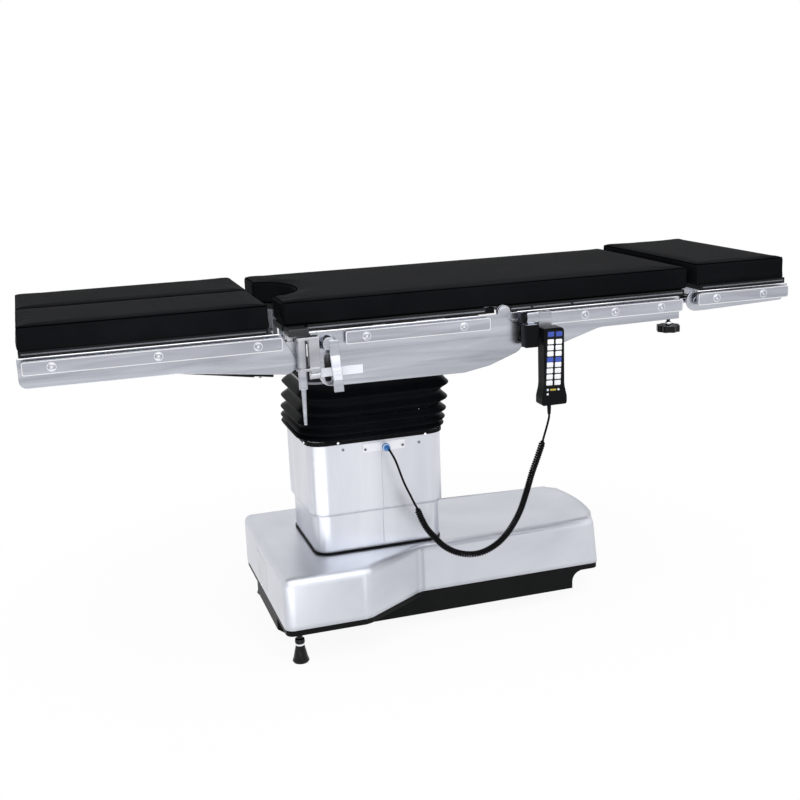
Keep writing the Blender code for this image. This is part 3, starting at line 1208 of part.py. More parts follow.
def make_head_rails():
    return [make_rail(f"head_rail_{side_name(side)}", HEAD_X - 0.005, HEAD_X + HEAD_PLATE_LENGTH - 0.013,
                      HEAD_FRAME_TOP - 0.002, side, INNER_LAYER_Y + PLATE_T, HEAD_RAIL_BOSSES)
            for side in (-1, 1)]


def make_head_knob(side):
    """Lobed knob on a clamp screw that bears on the head section's rod."""
    name = f"head_knob_{side_name(side)}"
    y = side * SOCKET_Y
    stem_top = HEAD_HINGE_Z - ROD_R - SEAT
    boss_foot = HEAD_HINGE_Z - SOCKET_H / 2 - KNOB_BOSS_H
    knob_top = boss_foot - KNOB_STEM_L
    points = []
    for i in range(KNOB_LOBES * 6):
        angle = 2 * math.pi * i / (KNOB_LOBES * 6)
        radius = KNOB_R - 0.0022 * (1 - math.cos(KNOB_LOBES * angle))
        points.append((KNOB_X + radius * math.cos(angle), y + radius * math.sin(angle)))
    knob = prism(name, points, "z", knob_top - KNOB_T, knob_top)
    stem = cylinder("stem", (KNOB_X, y, (stem_top + knob_top - 0.002) / 2), KNOB_STEM_R,
                    stem_top - knob_top + 0.002, sides=14)
    return finished(joined(knob, [stem]), name, "black_plastic")


def pendant_outline():
    """Front view of the hand pendant, with its flared foot."""
    x, half = PENDANT_X + PENDANT_OFF_CENTRE, PENDANT_W / 2
    foot, flare = PENDANT_FOOT_Z, PENDANT_FLARE
    top = foot + PENDANT_H
    return rounded([(x - half - flare, foot, 0.006), (x + half + flare, foot, 0.006),
                    (x + half + flare, foot + 0.022, 0.02), (x + half, foot + PENDANT_FLARE_H, 0.05),
                    (x + half, top, 0.010), (x - half, top, 0.006),
                    (x - half, foot + PENDANT_FLARE_H, 0.05), (x - half - flare, foot + 0.022, 0.02)])


def make_pendant():
    """Pendant body with its cord boot, and the hook that hangs it on the rail."""
    back, front = -PENDANT_BACK_Y, -PENDANT_BACK_Y - PENDANT_T
    body = prism("pendant_body", pendant_outline(), "y", front, back)
    boot_z = PENDANT_FOOT_Z + 0.001 - RELIEF_L / 2
    boot = cylinder("boot", (PENDANT_X, -BOOT_Y, boot_z), RELIEF_R[1], RELIEF_L, sides=14,
                    tip_radius=RELIEF_R[0])
    finished(joined(body, [boot]), "pendant_body", "black_plastic")
    rail_top = FRAME_TOP - RAIL_DROP
    front_y = -(RAIL_Y + RAIL_T + HOOK_GAP)
    rear_y = -(RAIL_Y - HOOK_GAP)
    strap_top = rail_top + SEAT
    strap_foot = PENDANT_FOOT_Z + PENDANT_H - 0.030
    hook = box("pendant_hook", HOOK_X, (front_y, front_y - HOOK_T), (strap_foot, strap_top + HOOK_T))
    parts = [box("bend", HOOK_X, (front_y - HOOK_T, rear_y + HOOK_T), (strap_top, strap_top + HOOK_T)),
             box("lip", HOOK_X, (rear_y, rear_y + HOOK_T), (rail_top - 0.014, strap_top + HOOK_T)),
             box("tie", (HOLDER_X[0] + 0.004, HOOK_X[1] - 0.004), (front_y, front_y - HOOK_T),
                 (strap_foot, strap_foot + 0.024))]
    holder_top = PENDANT_FOOT_Z + PENDANT_H + 0.011
    parts.append(box("holder", HOLDER_X, (front_y - 0.0005, front_y - HOLDER_T),
                     (holder_top - HOLDER_H, holder_top), 0.003))
    finished(joined(hook, parts), "pendant_hook", "black_plastic")
    return [body, hook]


def smooth_route(points, spacing):
    """Points about one spacing apart on a Catmull-Rom curve through the route."""
    route = [Vector(p) for p in points]
    route = [2 * route[0] - route[1]] + route + [2 * route[-1] - route[-2]]
    found = []
    for a, b, c, d in zip(route, route[1:], route[2:], route[3:]):
        steps = max(1, round((c - b).length / spacing))
        for step in range(steps):
            t = step / steps
            found.append(0.5 * (2 * b + (c - a) * t + (2 * a - 5 * b + 4 * c - d) * t * t
                                + (3 * b - a - 3 * c + d) * t * t * t))
    return found + [route[-2]]


def continued(route):
    """The first two points of the stretch that carries straight on from the end of a route."""
    end = Vector(route[-1])
    ahead = (end - Vector(route[-2])).normalized()
    return [tuple(end + ahead * SEAT), tuple(end + ahead * 0.007)]


def carried_out(route, first, last):
    """The route, moved outwards with the pendant's boot: its points by a share from first to last."""
    shift = BOOT_Y - ROUTE_BOOT_Y
    step = (last - first) / (len(route) - 1)
    return [(x, y - shift * (first + step * at), z) for at, (x, y, z) in enumerate(route)]


def make_cord_piece(name, route, diameter, spacing):
    """A plain tube along one stretch of the cord."""
    curve = bpy.data.curves.new(name, "CURVE")
    curve.dimensions = "3D"
    curve.bevel_depth = diameter / 2
    curve.bevel_resolution = 2
    curve.use_fill_caps = True
    points = smooth_route(route, spacing)
    spline = curve.splines.new("POLY")
    spline.points.add(len(points) - 1)
    for point, at in zip(spline.points, points):
        point.co = (*at, 1.0)
    obj = new_object(name, curve)
    obj.data.materials.append(material("black_plastic"))
    return obj


def make_cord():
    """Socket and plug on the column, and the cord in its three stretches."""
    width, height, thick = SOCKET_PLATE
    plate_z = (SOCKET_Z - 0.001 - height / 2, SOCKET_Z - 0.001 + height / 2)
    plate = box("connector_socket", (SOCKET_X - width / 2, SOCKET_X + width / 2),
                (-UPPER_HALF_W - SEAT, -SOCKET_FACE_Y), plate_z)
    barrel_y = -SOCKET_FACE_Y - (SOCKET_DEPTH - 0.001) / 2
    barrel = cylinder("barrel", (SOCKET_X, barrel_y, SOCKET_Z), SOCKET_R * 0.8, SOCKET_DEPTH + 0.001, "y", 20)
    collar = cylinder("collar", (SOCKET_X, -SOCKET_FACE_Y - 0.003, SOCKET_Z), SOCKET_R, 0.008, "y", 20)
    finished(joined(plate, [collar, barrel]), "connector_socket", "stainless")
    nut = cylinder("nut", (SOCKET_X, -PLUG_Y - PLUG_L / 2, SOCKET_Z), PLUG_R, PLUG_L, "y", 20)
    gland_foot = PLUG_Y + PLUG_L
    gland_tip = -LEAD_ROUTE[0][1] - SEAT
    gland = cylinder("gland", (SOCKET_X, -(gland_foot + gland_tip) / 2 + 0.001, SOCKET_Z), 0.0042,
                     gland_tip - gland_foot + 0.002, "y", 16, PLUG_R * 0.8)
    finished(joined(nut, [gland]), "cord_plug", "blue_plastic")
    boot_foot = PENDANT_FOOT_Z + 0.001 - RELIEF_L
    coil = continued(LEAD_ROUTE) + carried_out(COIL_ROUTE, 0.0, 1.0)
    tail = continued(coil) + carried_out(TAIL_ROUTE, 1.0, 1.0)
    tail += [(PENDANT_X, -BOOT_Y, boot_foot - 0.008), (PENDANT_X, -BOOT_Y, boot_foot - SEAT)]
    cord = [make_cord_piece("cord_lead", LEAD_ROUTE, CORD_D, 2.5 * CORD_D),
            make_cord_piece("cord_coil", coil, COIL_D, 1.2 * COIL_D),
            make_cord_piece("cord_tail", tail, CORD_D, 2.5 * CORD_D)]
    return [plate, nut, *cord]


def joint_empty(name, location, pieces):
    """An empty on a joint's axis that carries the pieces, and later empties, that move with it."""
    empty = bpy.data.objects.new(name, None)
    empty.location = location
    empty.empty_display_size = 0.05
    PARTS.objects.link(empty)
    bpy.context.view_layer.update()
    for piece in pieces:
        adopt(empty, piece)
    return empty


def adopt(parent, child):
    child.parent = parent
    child.matrix_parent_inverse = parent.matrix_world.inverted()
    bpy.context.view_layer.update()


def make_leg_group(side, pieces_by_name):
    """Joint empties of one leg section, from the post to the knee, and its lock handle."""
    where = side_name(side)
    y = side * POST_Y
    flex = joint_empty(f"leg_flex_axis_{where}", (KNEE_X, y, KNEE_Z),
                       [pieces_by_name[f"leg_{kind}_{where}"] for kind in ("frame", "board", "pad", "rail")])
    swing = joint_empty(f"leg_swing_axis_{where}", (POST_X, y, KNEE_Z),
                        [pieces_by_name[f"leg_knuckle_{where}"]])
    adopt(swing, flex)
    handle = joint_empty(f"leg_lock_axis_{where}", (POST_X, y, YOKE_FOOT_Z),
                         [pieces_by_name[f"leg_lock_handle_{where}"]])
    lever = joint_empty(f"side_lever_axis_{where}", (EAR_SLOT_X, y, FRAME_TOP - LEVER_DROP),
                        [pieces_by_name[f"side_lever_{where}"]])
    return [swing, handle, lever]


def build():
    """Builds every piece, then hangs the pieces on the empties of their joints."""
    fixed = [make_chassis(), make_cover(), *make_column_fixed(), make_power_unit()]
    feet = make_feet()
    castors = make_castors()
    wheelset = make_rear_wheelset()
    lifted = [make_carriage(), *make_upper_sleeve(), make_bellows(), *make_cord()]
    cross, saddle = make_tilt_head()
    seat = [make_seat_frame(), *make_seat_top(), *make_seat_rails()]
    brackets = [make_leg_bracket(side) for side in (-1, 1)]
    makers = (make_side_lever, make_lock_handle, make_leg_knuckle)
    swinging = [make(side) for side in (-1, 1) for make in makers]
    legs = make_legs()
    back = [make_back_frame(), *make_back_top(), *make_back_rails()]
    head = [make_head_frame(), *make_head_top(), *make_head_rails()]
    bracket = make_head_bracket()
    knobs = [make_head_knob(side) for side in (-1, 1)]
    pendant = make_pendant()
    by_name = {obj.name: obj for obj in swinging + legs}

    head_tilt = joint_empty("head_tilt_axis", (HEAD_X + 0.001, 0.0, HEAD_HINGE_Z), head)
    head_slide = joint_empty("head_slide_axis", (BACK_FRAME_HEAD_X, 0.0, HEAD_HINGE_Z), [bracket])
    adopt(head_slide, head_tilt)
    knob_axes = [joint_empty(f"head_knob_axis_{side_name(side)}", (KNOB_X, side * SOCKET_Y, HEAD_HINGE_Z),
                             [knob]) for side, knob in zip((-1, 1), knobs)]
    hang = joint_empty("pendant_lift_axis", (PENDANT_X, -PENDANT_BACK_Y, FRAME_TOP), pendant)
    back_hinge = joint_empty("back_hinge_axis", (BACK_HINGE_X, 0.0, BACK_HINGE_Z), back)
    seat_slide = joint_empty("top_slide_axis", (COLUMN_X, 0.0, FRAME_TOP - BAR_H), seat + brackets)
    for child in [head_slide, hang, *knob_axes]:
        adopt(back_hinge, child)
    for child in [back_hinge] + [axis for side in (-1, 1) for axis in make_leg_group(side, by_name)]:
        adopt(seat_slide, child)
    roll = joint_empty("lateral_tilt_axis", (COLUMN_X, 0.0, ROLL_Z), [saddle])
    adopt(roll, seat_slide)
    trend = joint_empty("longitudinal_tilt_axis", (COLUMN_X, 0.0, TREND_Z), [cross])
    adopt(trend, roll)
    lift = joint_empty("lift_axis", (COLUMN_X, 0.0, UPPER_FOOT_Z), lifted)
    adopt(lift, trend)
    root = joint_empty("base_axis", (0.0, 0.0, 0.0), fixed)
    adopt(root, lift)
    for foot in feet:
        adopt(root, joint_empty(f"{foot.name}_axis", foot.matrix_world.translation, [foot]))
    for side, (fork, wheel) in zip((-1, 1), (castors[:2], castors[2:])):
        swivel = joint_empty(f"castor_swivel_axis_{side_name(side)}", (CASTOR_X, side * CASTOR_Y, DECK_Z),
                             [fork])
        spin = joint_empty(f"castor_spin_axis_{side_name(side)}",
                           (CASTOR_X - CASTOR_TRAIL, side * CASTOR_Y, WHEEL_Z), [wheel])
        adopt(swivel, spin)
        adopt(root, swivel)
    adopt(root, joint_empty("rear_axle_axis", (REAR_AXLE_X, 0.0, WHEEL_Z), [wheelset]))


build()
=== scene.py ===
"""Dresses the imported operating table: upholstery, bellows, curly cord, keypad, bolts and finishes.

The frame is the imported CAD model, in metres: +X runs to the head end, +Y to the patient's right and
+Z up. Everything here is placed in that frame and rides on its bodies.
"""
import json
import logging
import math
from dataclasses import dataclass, field
from enum import Enum, IntEnum
from typing import Callable, Iterable, Sequence

import bmesh
import bpy
from mathutils import Matrix, Vector
from mathutils.bvhtree import BVHTree

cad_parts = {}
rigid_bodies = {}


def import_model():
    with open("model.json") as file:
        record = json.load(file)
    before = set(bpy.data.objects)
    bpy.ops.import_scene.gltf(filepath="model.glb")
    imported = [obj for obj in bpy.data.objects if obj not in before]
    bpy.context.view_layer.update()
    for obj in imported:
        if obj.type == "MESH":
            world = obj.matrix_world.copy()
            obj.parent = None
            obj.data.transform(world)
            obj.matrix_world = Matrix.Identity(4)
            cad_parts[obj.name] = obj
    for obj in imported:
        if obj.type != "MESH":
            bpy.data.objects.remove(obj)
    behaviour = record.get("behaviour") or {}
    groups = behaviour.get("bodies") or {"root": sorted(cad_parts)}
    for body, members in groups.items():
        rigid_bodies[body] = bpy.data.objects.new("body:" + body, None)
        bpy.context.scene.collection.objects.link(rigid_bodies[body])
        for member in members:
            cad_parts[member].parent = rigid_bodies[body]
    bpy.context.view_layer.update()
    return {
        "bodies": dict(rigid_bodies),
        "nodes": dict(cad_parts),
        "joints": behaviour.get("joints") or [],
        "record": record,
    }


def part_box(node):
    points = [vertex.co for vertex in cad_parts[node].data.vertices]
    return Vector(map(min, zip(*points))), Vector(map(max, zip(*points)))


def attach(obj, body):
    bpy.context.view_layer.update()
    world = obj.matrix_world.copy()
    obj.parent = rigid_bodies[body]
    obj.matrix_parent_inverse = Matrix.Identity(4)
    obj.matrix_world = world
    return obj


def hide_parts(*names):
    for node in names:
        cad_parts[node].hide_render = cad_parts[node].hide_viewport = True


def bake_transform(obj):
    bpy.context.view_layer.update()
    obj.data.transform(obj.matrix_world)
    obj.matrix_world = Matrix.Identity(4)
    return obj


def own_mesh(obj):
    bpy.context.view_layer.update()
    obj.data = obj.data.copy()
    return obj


log = logging.getLogger("operating_table")

Point = tuple[float, float, float]
Corners = tuple[Point, Point]
Test = Callable[[Vector, Vector], bool]
SIDES = {"left": -1, "right": 1}
LEVEL_GAP = 1e-4  # how far apart, in metres, two edges may be and still count as level


# --------------------------------------------------------------------------- colours and nodes
def linear(code: str) -> tuple[float, float, float, float]:
    """Turns an sRGB hex colour into the linear colour that shaders take.

    Args:
        code: Six hex digits after a hash.

    Returns:
        Red, green, blue and an alpha of one.
    """
    parts = [int(code[at:at + 2], 16) / 255 for at in (1, 3, 5)]
    red, green, blue = (p / 12.92 if p <= 0.04045 else ((p + 0.055) / 1.055) ** 2.4 for p in parts)
    return red, green, blue, 1.0


def add_node(tree: bpy.types.NodeTree, kind: str, inputs: dict | None = None, **settings) -> bpy.types.Node:
    """Adds a shader node, sets it up and links it.

    Args:
        tree: The tree that gets the node.
        kind: The node's type name, without its ShaderNode prefix.
        inputs: Value or output socket for each input, by its name or number.
        **settings: Attributes of the node itself.

    Returns:
        The node.
    """
    node = tree.nodes.new("ShaderNode" + kind)
    for key, value in settings.items():
        setattr(node, key, value)
    for key, value in (inputs or {}).items():
        if isinstance(value, bpy.types.NodeSocket):
            tree.links.new(value, node.inputs[key])
        else:
            node.inputs[key].default_value = value
    return node


# --------------------------------------------------------------------------- finishes
class Grain(Enum):
    """How a surface is worked, as the stretch of its pattern in lines per metre along X, Y and Z."""

    BRUSHED_ALONG = (6.0, 620.0, 620.0)
    BRUSHED_UP = (420.0, 420.0, 4.0)
    PEBBLED = (430.0, 430.0, 430.0)
    SANDED = (900.0, 900.0, 900.0)
    MOULDED = (1500.0, 1500.0, 1500.0)


class Drift(Enum):
    """How the tone wanders over a surface, as patches per metre along X, Y and Z."""

    EVEN = (7.0, 7.0, 7.0)
    STREAKED = (3.0, 42.0, 42.0)
    RUNNING_DOWN = (9.0, 9.0, 2.0)
    CLOUDED = (4.0, 4.0, 6.0)


@dataclass(frozen=True)
class Finish:
    """One real material with the treatment of its surface.

    The colour wanders between two tones over a hand's breadth, and the grain, which is drawn coarser
    than life where it would not show, moves the roughness a little and the relief by its depth.
    """

    name: str
    slot: str
    colour: str
    tone: str
    roughness: float
    grain: Grain
    drift: Drift = Drift.EVEN
    metallic: float = 0.0
    specular: float = 0.5
    spread: float = 0.05
    depth: float = 0.05
    edge: float = 0.0

    def material(self) -> bpy.types.Material:
        """Returns the material, made when it is first asked for."""
        known = bpy.data.materials.get(self.name)
        if known:
            return known
        made = bpy.data.materials.new(self.name)
        made.use_nodes = True
        tree = made.node_tree
        shader = tree.nodes["Principled BSDF"]
        shader.inputs["Metallic"].default_value = self.metallic
        shader.inputs["Specular IOR Level"].default_value = self.specular
        place = add_node(tree, "TexCoord").outputs["Object"]
        patches = add_node(tree, "Mapping", {"Vector": place, "Scale": self.drift.value}).outputs["Vector"]
        cloud = add_node(tree, "TexNoise", {"Vector": patches, "Scale": 1.0, "Detail": 3.0,
                                            "Distortion": 0.6}).outputs["Fac"]
        spread = add_node(tree, "MapRange", {"Value": cloud, "From Min": 0.30, "From Max": 0.70})
        tones = add_node(tree, "Mix", {0: spread.outputs["Result"], 6: linear(self.colour),
                                       7: linear(self.tone)}, data_type="RGBA")
        tree.links.new(tones.outputs[2], shader.inputs["Base Color"])
        lines = self.pattern(tree, place)
        low, high = self.roughness - self.spread, self.roughness + self.spread
        rough = add_node(tree, "MapRange", {"Value": lines, "To Min": low, "To Max": high})
        tree.links.new(rough.outputs["Result"], shader.inputs["Roughness"])
        relief = {"Height": lines, "Strength": self.depth, "Distance": 0.001}
        if self.edge:
            relief["Normal"] = add_node(tree, "Bevel", {"Radius": self.edge}, samples=6).outputs["Normal"]
        bump = add_node(tree, "Bump", relief)
        tree.links.new(bump.outputs["Normal"], shader.inputs["Normal"])
        return made

    def pattern(self, tree: bpy.types.NodeTree, place: bpy.types.NodeSocket) -> bpy.types.NodeSocket:
        """Draws the grain.

        Args:
            tree: The material's node tree.
            place: Coordinates on the object.

        Returns:
            The socket that gives the grain's height, from 0 to 1.
        """
        scaled = add_node(tree, "Mapping", {"Vector": place, "Scale": self.grain.value}).outputs["Vector"]
        if self.grain is Grain.PEBBLED:
            cells = add_node(tree, "TexVoronoi", {"Vector": scaled, "Scale": 1.0},
                             feature="DISTANCE_TO_EDGE").outputs["Distance"]
            return add_node(tree, "MapRange", {"Value": cells, "From Max": 0.3}).outputs["Result"]
        return add_node(tree, "TexNoise", {"Vector": scaled, "Scale": 1.0, "Detail": 2.0}).outputs["Fac"]


# Stainless sheet, brushed along the table: pale grey with darker and lighter streaks
BRUSHED_STEEL = Finish("stainless_steel_brushed", "stainless", "#9ea1a9", "#bfc2ca", 0.25,
                       Grain.BRUSHED_ALONG, Drift.STREAKED, metallic=1.0, spread=0.06, edge=0.0022)
# The column's sleeves: the same sheet with the brushing upright
SLEEVE_STEEL = Finish("stainless_steel_brushed_upright", "stainless", "#c6c9d1", "#d9dbe2", 0.34,
                      Grain.BRUSHED_UP, Drift.RUNNING_DOWN, metallic=1.0, depth=0.03, edge=0.0120)
# The base cover: pressed stainless with a satin finish, a little cloudy
COVER_STEEL = Finish("stainless_steel_satin", "stainless", "#c1c4cc", "#cfd2d9", 0.35,
                     Grain.BRUSHED_ALONG, Drift.CLOUDED, metallic=1.0, spread=0.04, depth=0.03, edge=0.0160)
# Rails, levers and the pendant's clamp: ground and polished bar, which picks up bright lines
POLISHED_STEEL = Finish("stainless_steel_polished", "stainless", "#9ea1aa", "#bec1c9", 0.20,
                        Grain.BRUSHED_ALONG, Drift.STREAKED, metallic=1.0, spread=0.04, depth=0.03,
                        edge=0.0030)
# Bolts, washers and rings: buffed steel, nearly white. The same near-white colour on the plate-top beads and
# the rail rims is a painted highlight along those edges
BUFFED_STEEL_AND_PAINTED_HIGHLIGHT = Finish("stainless_steel_buffed", "stainless", "#e4e5e9", "#f2f2f5", 0.16,
                      Grain.BRUSHED_ALONG, metallic=1.0, spread=0.03, depth=0.02)
# Machined steel of the hidden mechanism: darker and duller
MACHINED_STEEL = Finish("steel_machined", "steel", "#63666b", "#7f8288", 0.42,
                        Grain.SANDED, metallic=1.0, spread=0.08, depth=0.08, edge=0.0008)
# Cast and tumbled brackets: bright, with a fine pebbly skin
CAST_STEEL = Finish("stainless_steel_cast", "cast_metal", "#8f9298", "#d2d4d9", 0.28,
                    Grain.SANDED, Drift.CLOUDED, metallic=1.0, spread=0.08, depth=0.16, edge=0.0024)
# Chassis: black powder coat with the orange peel that baking leaves
POWDER_COAT = Finish("steel_powder_coated_black", "chassis_black", "#0b0c0d", "#111213", 0.46,
                     Grain.SANDED, specular=0.08, spread=0.06, depth=0.12, edge=0.0014)
# Upholstery: coated fabric with a pebbled skin that takes broad soft highlights
VINYL = Finish("vinyl_upholstery_black", "pad_cover", "#0e0f11", "#131416", 0.50,
               Grain.PEBBLED, specular=0.003, spread=0.06, depth=0.10)
# Seam cord of the upholstery: the same skin over a cord, with a smoother relief; near-black and without
# shine, which is painted shade of the seam's groove along the pad's edge
PIPING_PAINTED_SHADE = Finish("vinyl_seam_black", "pad_cover", "#010101", "#020202", 0.55,
                Grain.PEBBLED, specular=0.0)
# Compact laminate boards: black, and matt at the sawn edge
LAMINATE = Finish("compact_laminate_black", "board", "#101113", "#17181a", 0.50,
                  Grain.SANDED, specular=0.2, spread=0.08, depth=0.10, edge=0.0010)
# Bellows: coated neoprene, which shines softly along each fold
NEOPRENE = Finish("neoprene_bellows_black", "rubber", "#0e1013", "#131518", 0.28,
                  Grain.MOULDED, specular=0.012, spread=0.05, depth=0.04)
# Gasket, clamp strip and the seat board's end seals: dull moulded rubber
RUBBER = Finish("rubber_moulded_black", "rubber", "#0a0a0b", "#101012", 0.50,
                Grain.MOULDED, specular=0.05, spread=0.06, depth=0.10, edge=0.0010)
# Cones of the brake feet and knobs of the head section: glossy black nylon
GLOSS_NYLON = Finish("nylon_glossy_black", "rubber", "#060607", "#09090b", 0.12,
                     Grain.MOULDED, specular=0.22, spread=0.04, depth=0.03, edge=0.0010)
# Wheels: grey thermoplastic rubber
WHEEL_RUBBER = Finish("thermoplastic_rubber_grey", "wheel_rubber", "#2c2d2f", "#38393b", 0.60,
                      Grain.SANDED, specular=0.3, depth=0.12)
# Pendant, its holder and clamp knob: black ABS with a fine spark-eroded texture
BLACK_ABS = Finish("abs_moulded_black", "black_plastic", "#08090a", "#0d0e10", 0.36,
                   Grain.MOULDED, specular=0.06, spread=0.06, depth=0.10, edge=0.0010)
# Membrane of the keypad: glossier polyester film
KEYPAD_FILM = Finish("polyester_film_black", "black_plastic", "#060607", "#09090a", 0.24,
                     Grain.MOULDED, specular=0.2)
# Keys and lamps of the keypad: plain moulded plastic, bright and clean
WHITE_KEYS = Finish("abs_keys_white", "black_plastic", "#e9ebee", "#dfe1e5", 0.42, Grain.MOULDED)
BLUE_KEYS = Finish("abs_keys_blue", "blue_plastic", "#29429a", "#3350ad", 0.38, Grain.MOULDED)
LAMP_LENS = Finish("lamp_lens_white", "black_plastic", "#dfe3e4", "#cfd6d6", 0.25, Grain.MOULDED)
LAMP_AMBER = Finish("lamp_lens_amber", "black_plastic", "#7f9a4a", "#b09a3c", 0.25, Grain.MOULDED)
# Bare label film, and the pale core that shows in a sawn laminate edge
LABEL_FILM = Finish("polyester_label_white", "stainless", "#e2e3ea", "#d6d8e0", 0.35, Grain.MOULDED)
LAMINATE_CORE = Finish("compact_laminate_core_grey", "board", "#6f7278", "#85888f", 0.45,
                       Grain.SANDED, specular=0.3)
# Connector: blue and white glass-filled nylon, on a pale anodised plate
BLUE_NYLON = Finish("nylon_moulded_blue", "blue_plastic", "#2c6fb4", "#3a80c4", 0.36,
                    Grain.MOULDED, edge=0.0006)
WHITE_NYLON = Finish("nylon_moulded_white", "stainless", "#dfe6ee", "#d0dae6", 0.34, Grain.MOULDED)
ANODISED = Finish("aluminium_anodised_pale", "stainless", "#e6e7ec", "#dcdde3", 0.45,
                  Grain.BRUSHED_ALONG, metallic=0.3, depth=0.02)
# Cord: polyurethane jacket with a slight shine
CORD_JACKET = Finish("polyurethane_jacket_black", "black_plastic", "#08080a", "#0e0e10", 0.34,
                     Grain.MOULDED, specular=0.06, depth=0.06)
# Caps of the leg knuckles: cast, enamelled in dark grey
KNUCKLE_ENAMEL = Finish("cast_iron_enamelled_grey", "cast_metal", "#1f2022", "#2a2b2e", 0.32,
                        Grain.SANDED, specular=0.30, depth=0.06, edge=0.0024)

# The finish of each CAD node that stays in view; a star takes both sides
NODE_FINISHES = {
    BRUSHED_STEEL: ("seat_frame", "back_frame", "head_frame", "leg_frame_*", "pendant_hook"),
    SLEEVE_STEEL: ("upper_column_sleeve", "lower_column_sleeve"),
    COVER_STEEL: ("base_cover",),
    POLISHED_STEEL: ("seat_rail_*", "back_rail_*", "head_rail_*", "leg_rail_*", "side_lever_*",
                     "head_bracket", "leg_lock_handle_*"),
    MACHINED_STEEL: ("lift_carriage", "tilt_cross", "tilt_saddle", "castor_fork_*"),
    CAST_STEEL: ("leg_bracket_*", "leg_knuckle_*"),
    POWDER_COAT: ("base_chassis", "power_unit"),
    LAMINATE: ("seat_board", "back_board", "head_board", "leg_board_*"),
    RUBBER: ("column_gasket", "bellows_clamp"),
    GLOSS_NYLON: ("brake_foot_head", "brake_foot_*", "head_knob_*"),
    WHEEL_RUBBER: ("castor_wheel_*", "rear_wheelset"),
    BLACK_ABS: ("pendant_body",),
    BLUE_NYLON: ("cord_plug",),
    ANODISED: ("connector_socket",),
}


# --------------------------------------------------------------------------- the modelling bench
class Part(Enum):
    """What an edit tool works on."""

    VERT = "verts"
    EDGE = "edges"


class Axis(IntEnum):
    """An axis, by its number in a vector."""

    X = 0
    Y = 1
    Z = 2


def on_side(sign: int, *points: Sequence[float]) -> list[Point]:
    """Takes points that are given for the right side to the side asked for: -1 is the left, 1 the right."""
    return [(x, sign * y, z) for x, y, z in points]


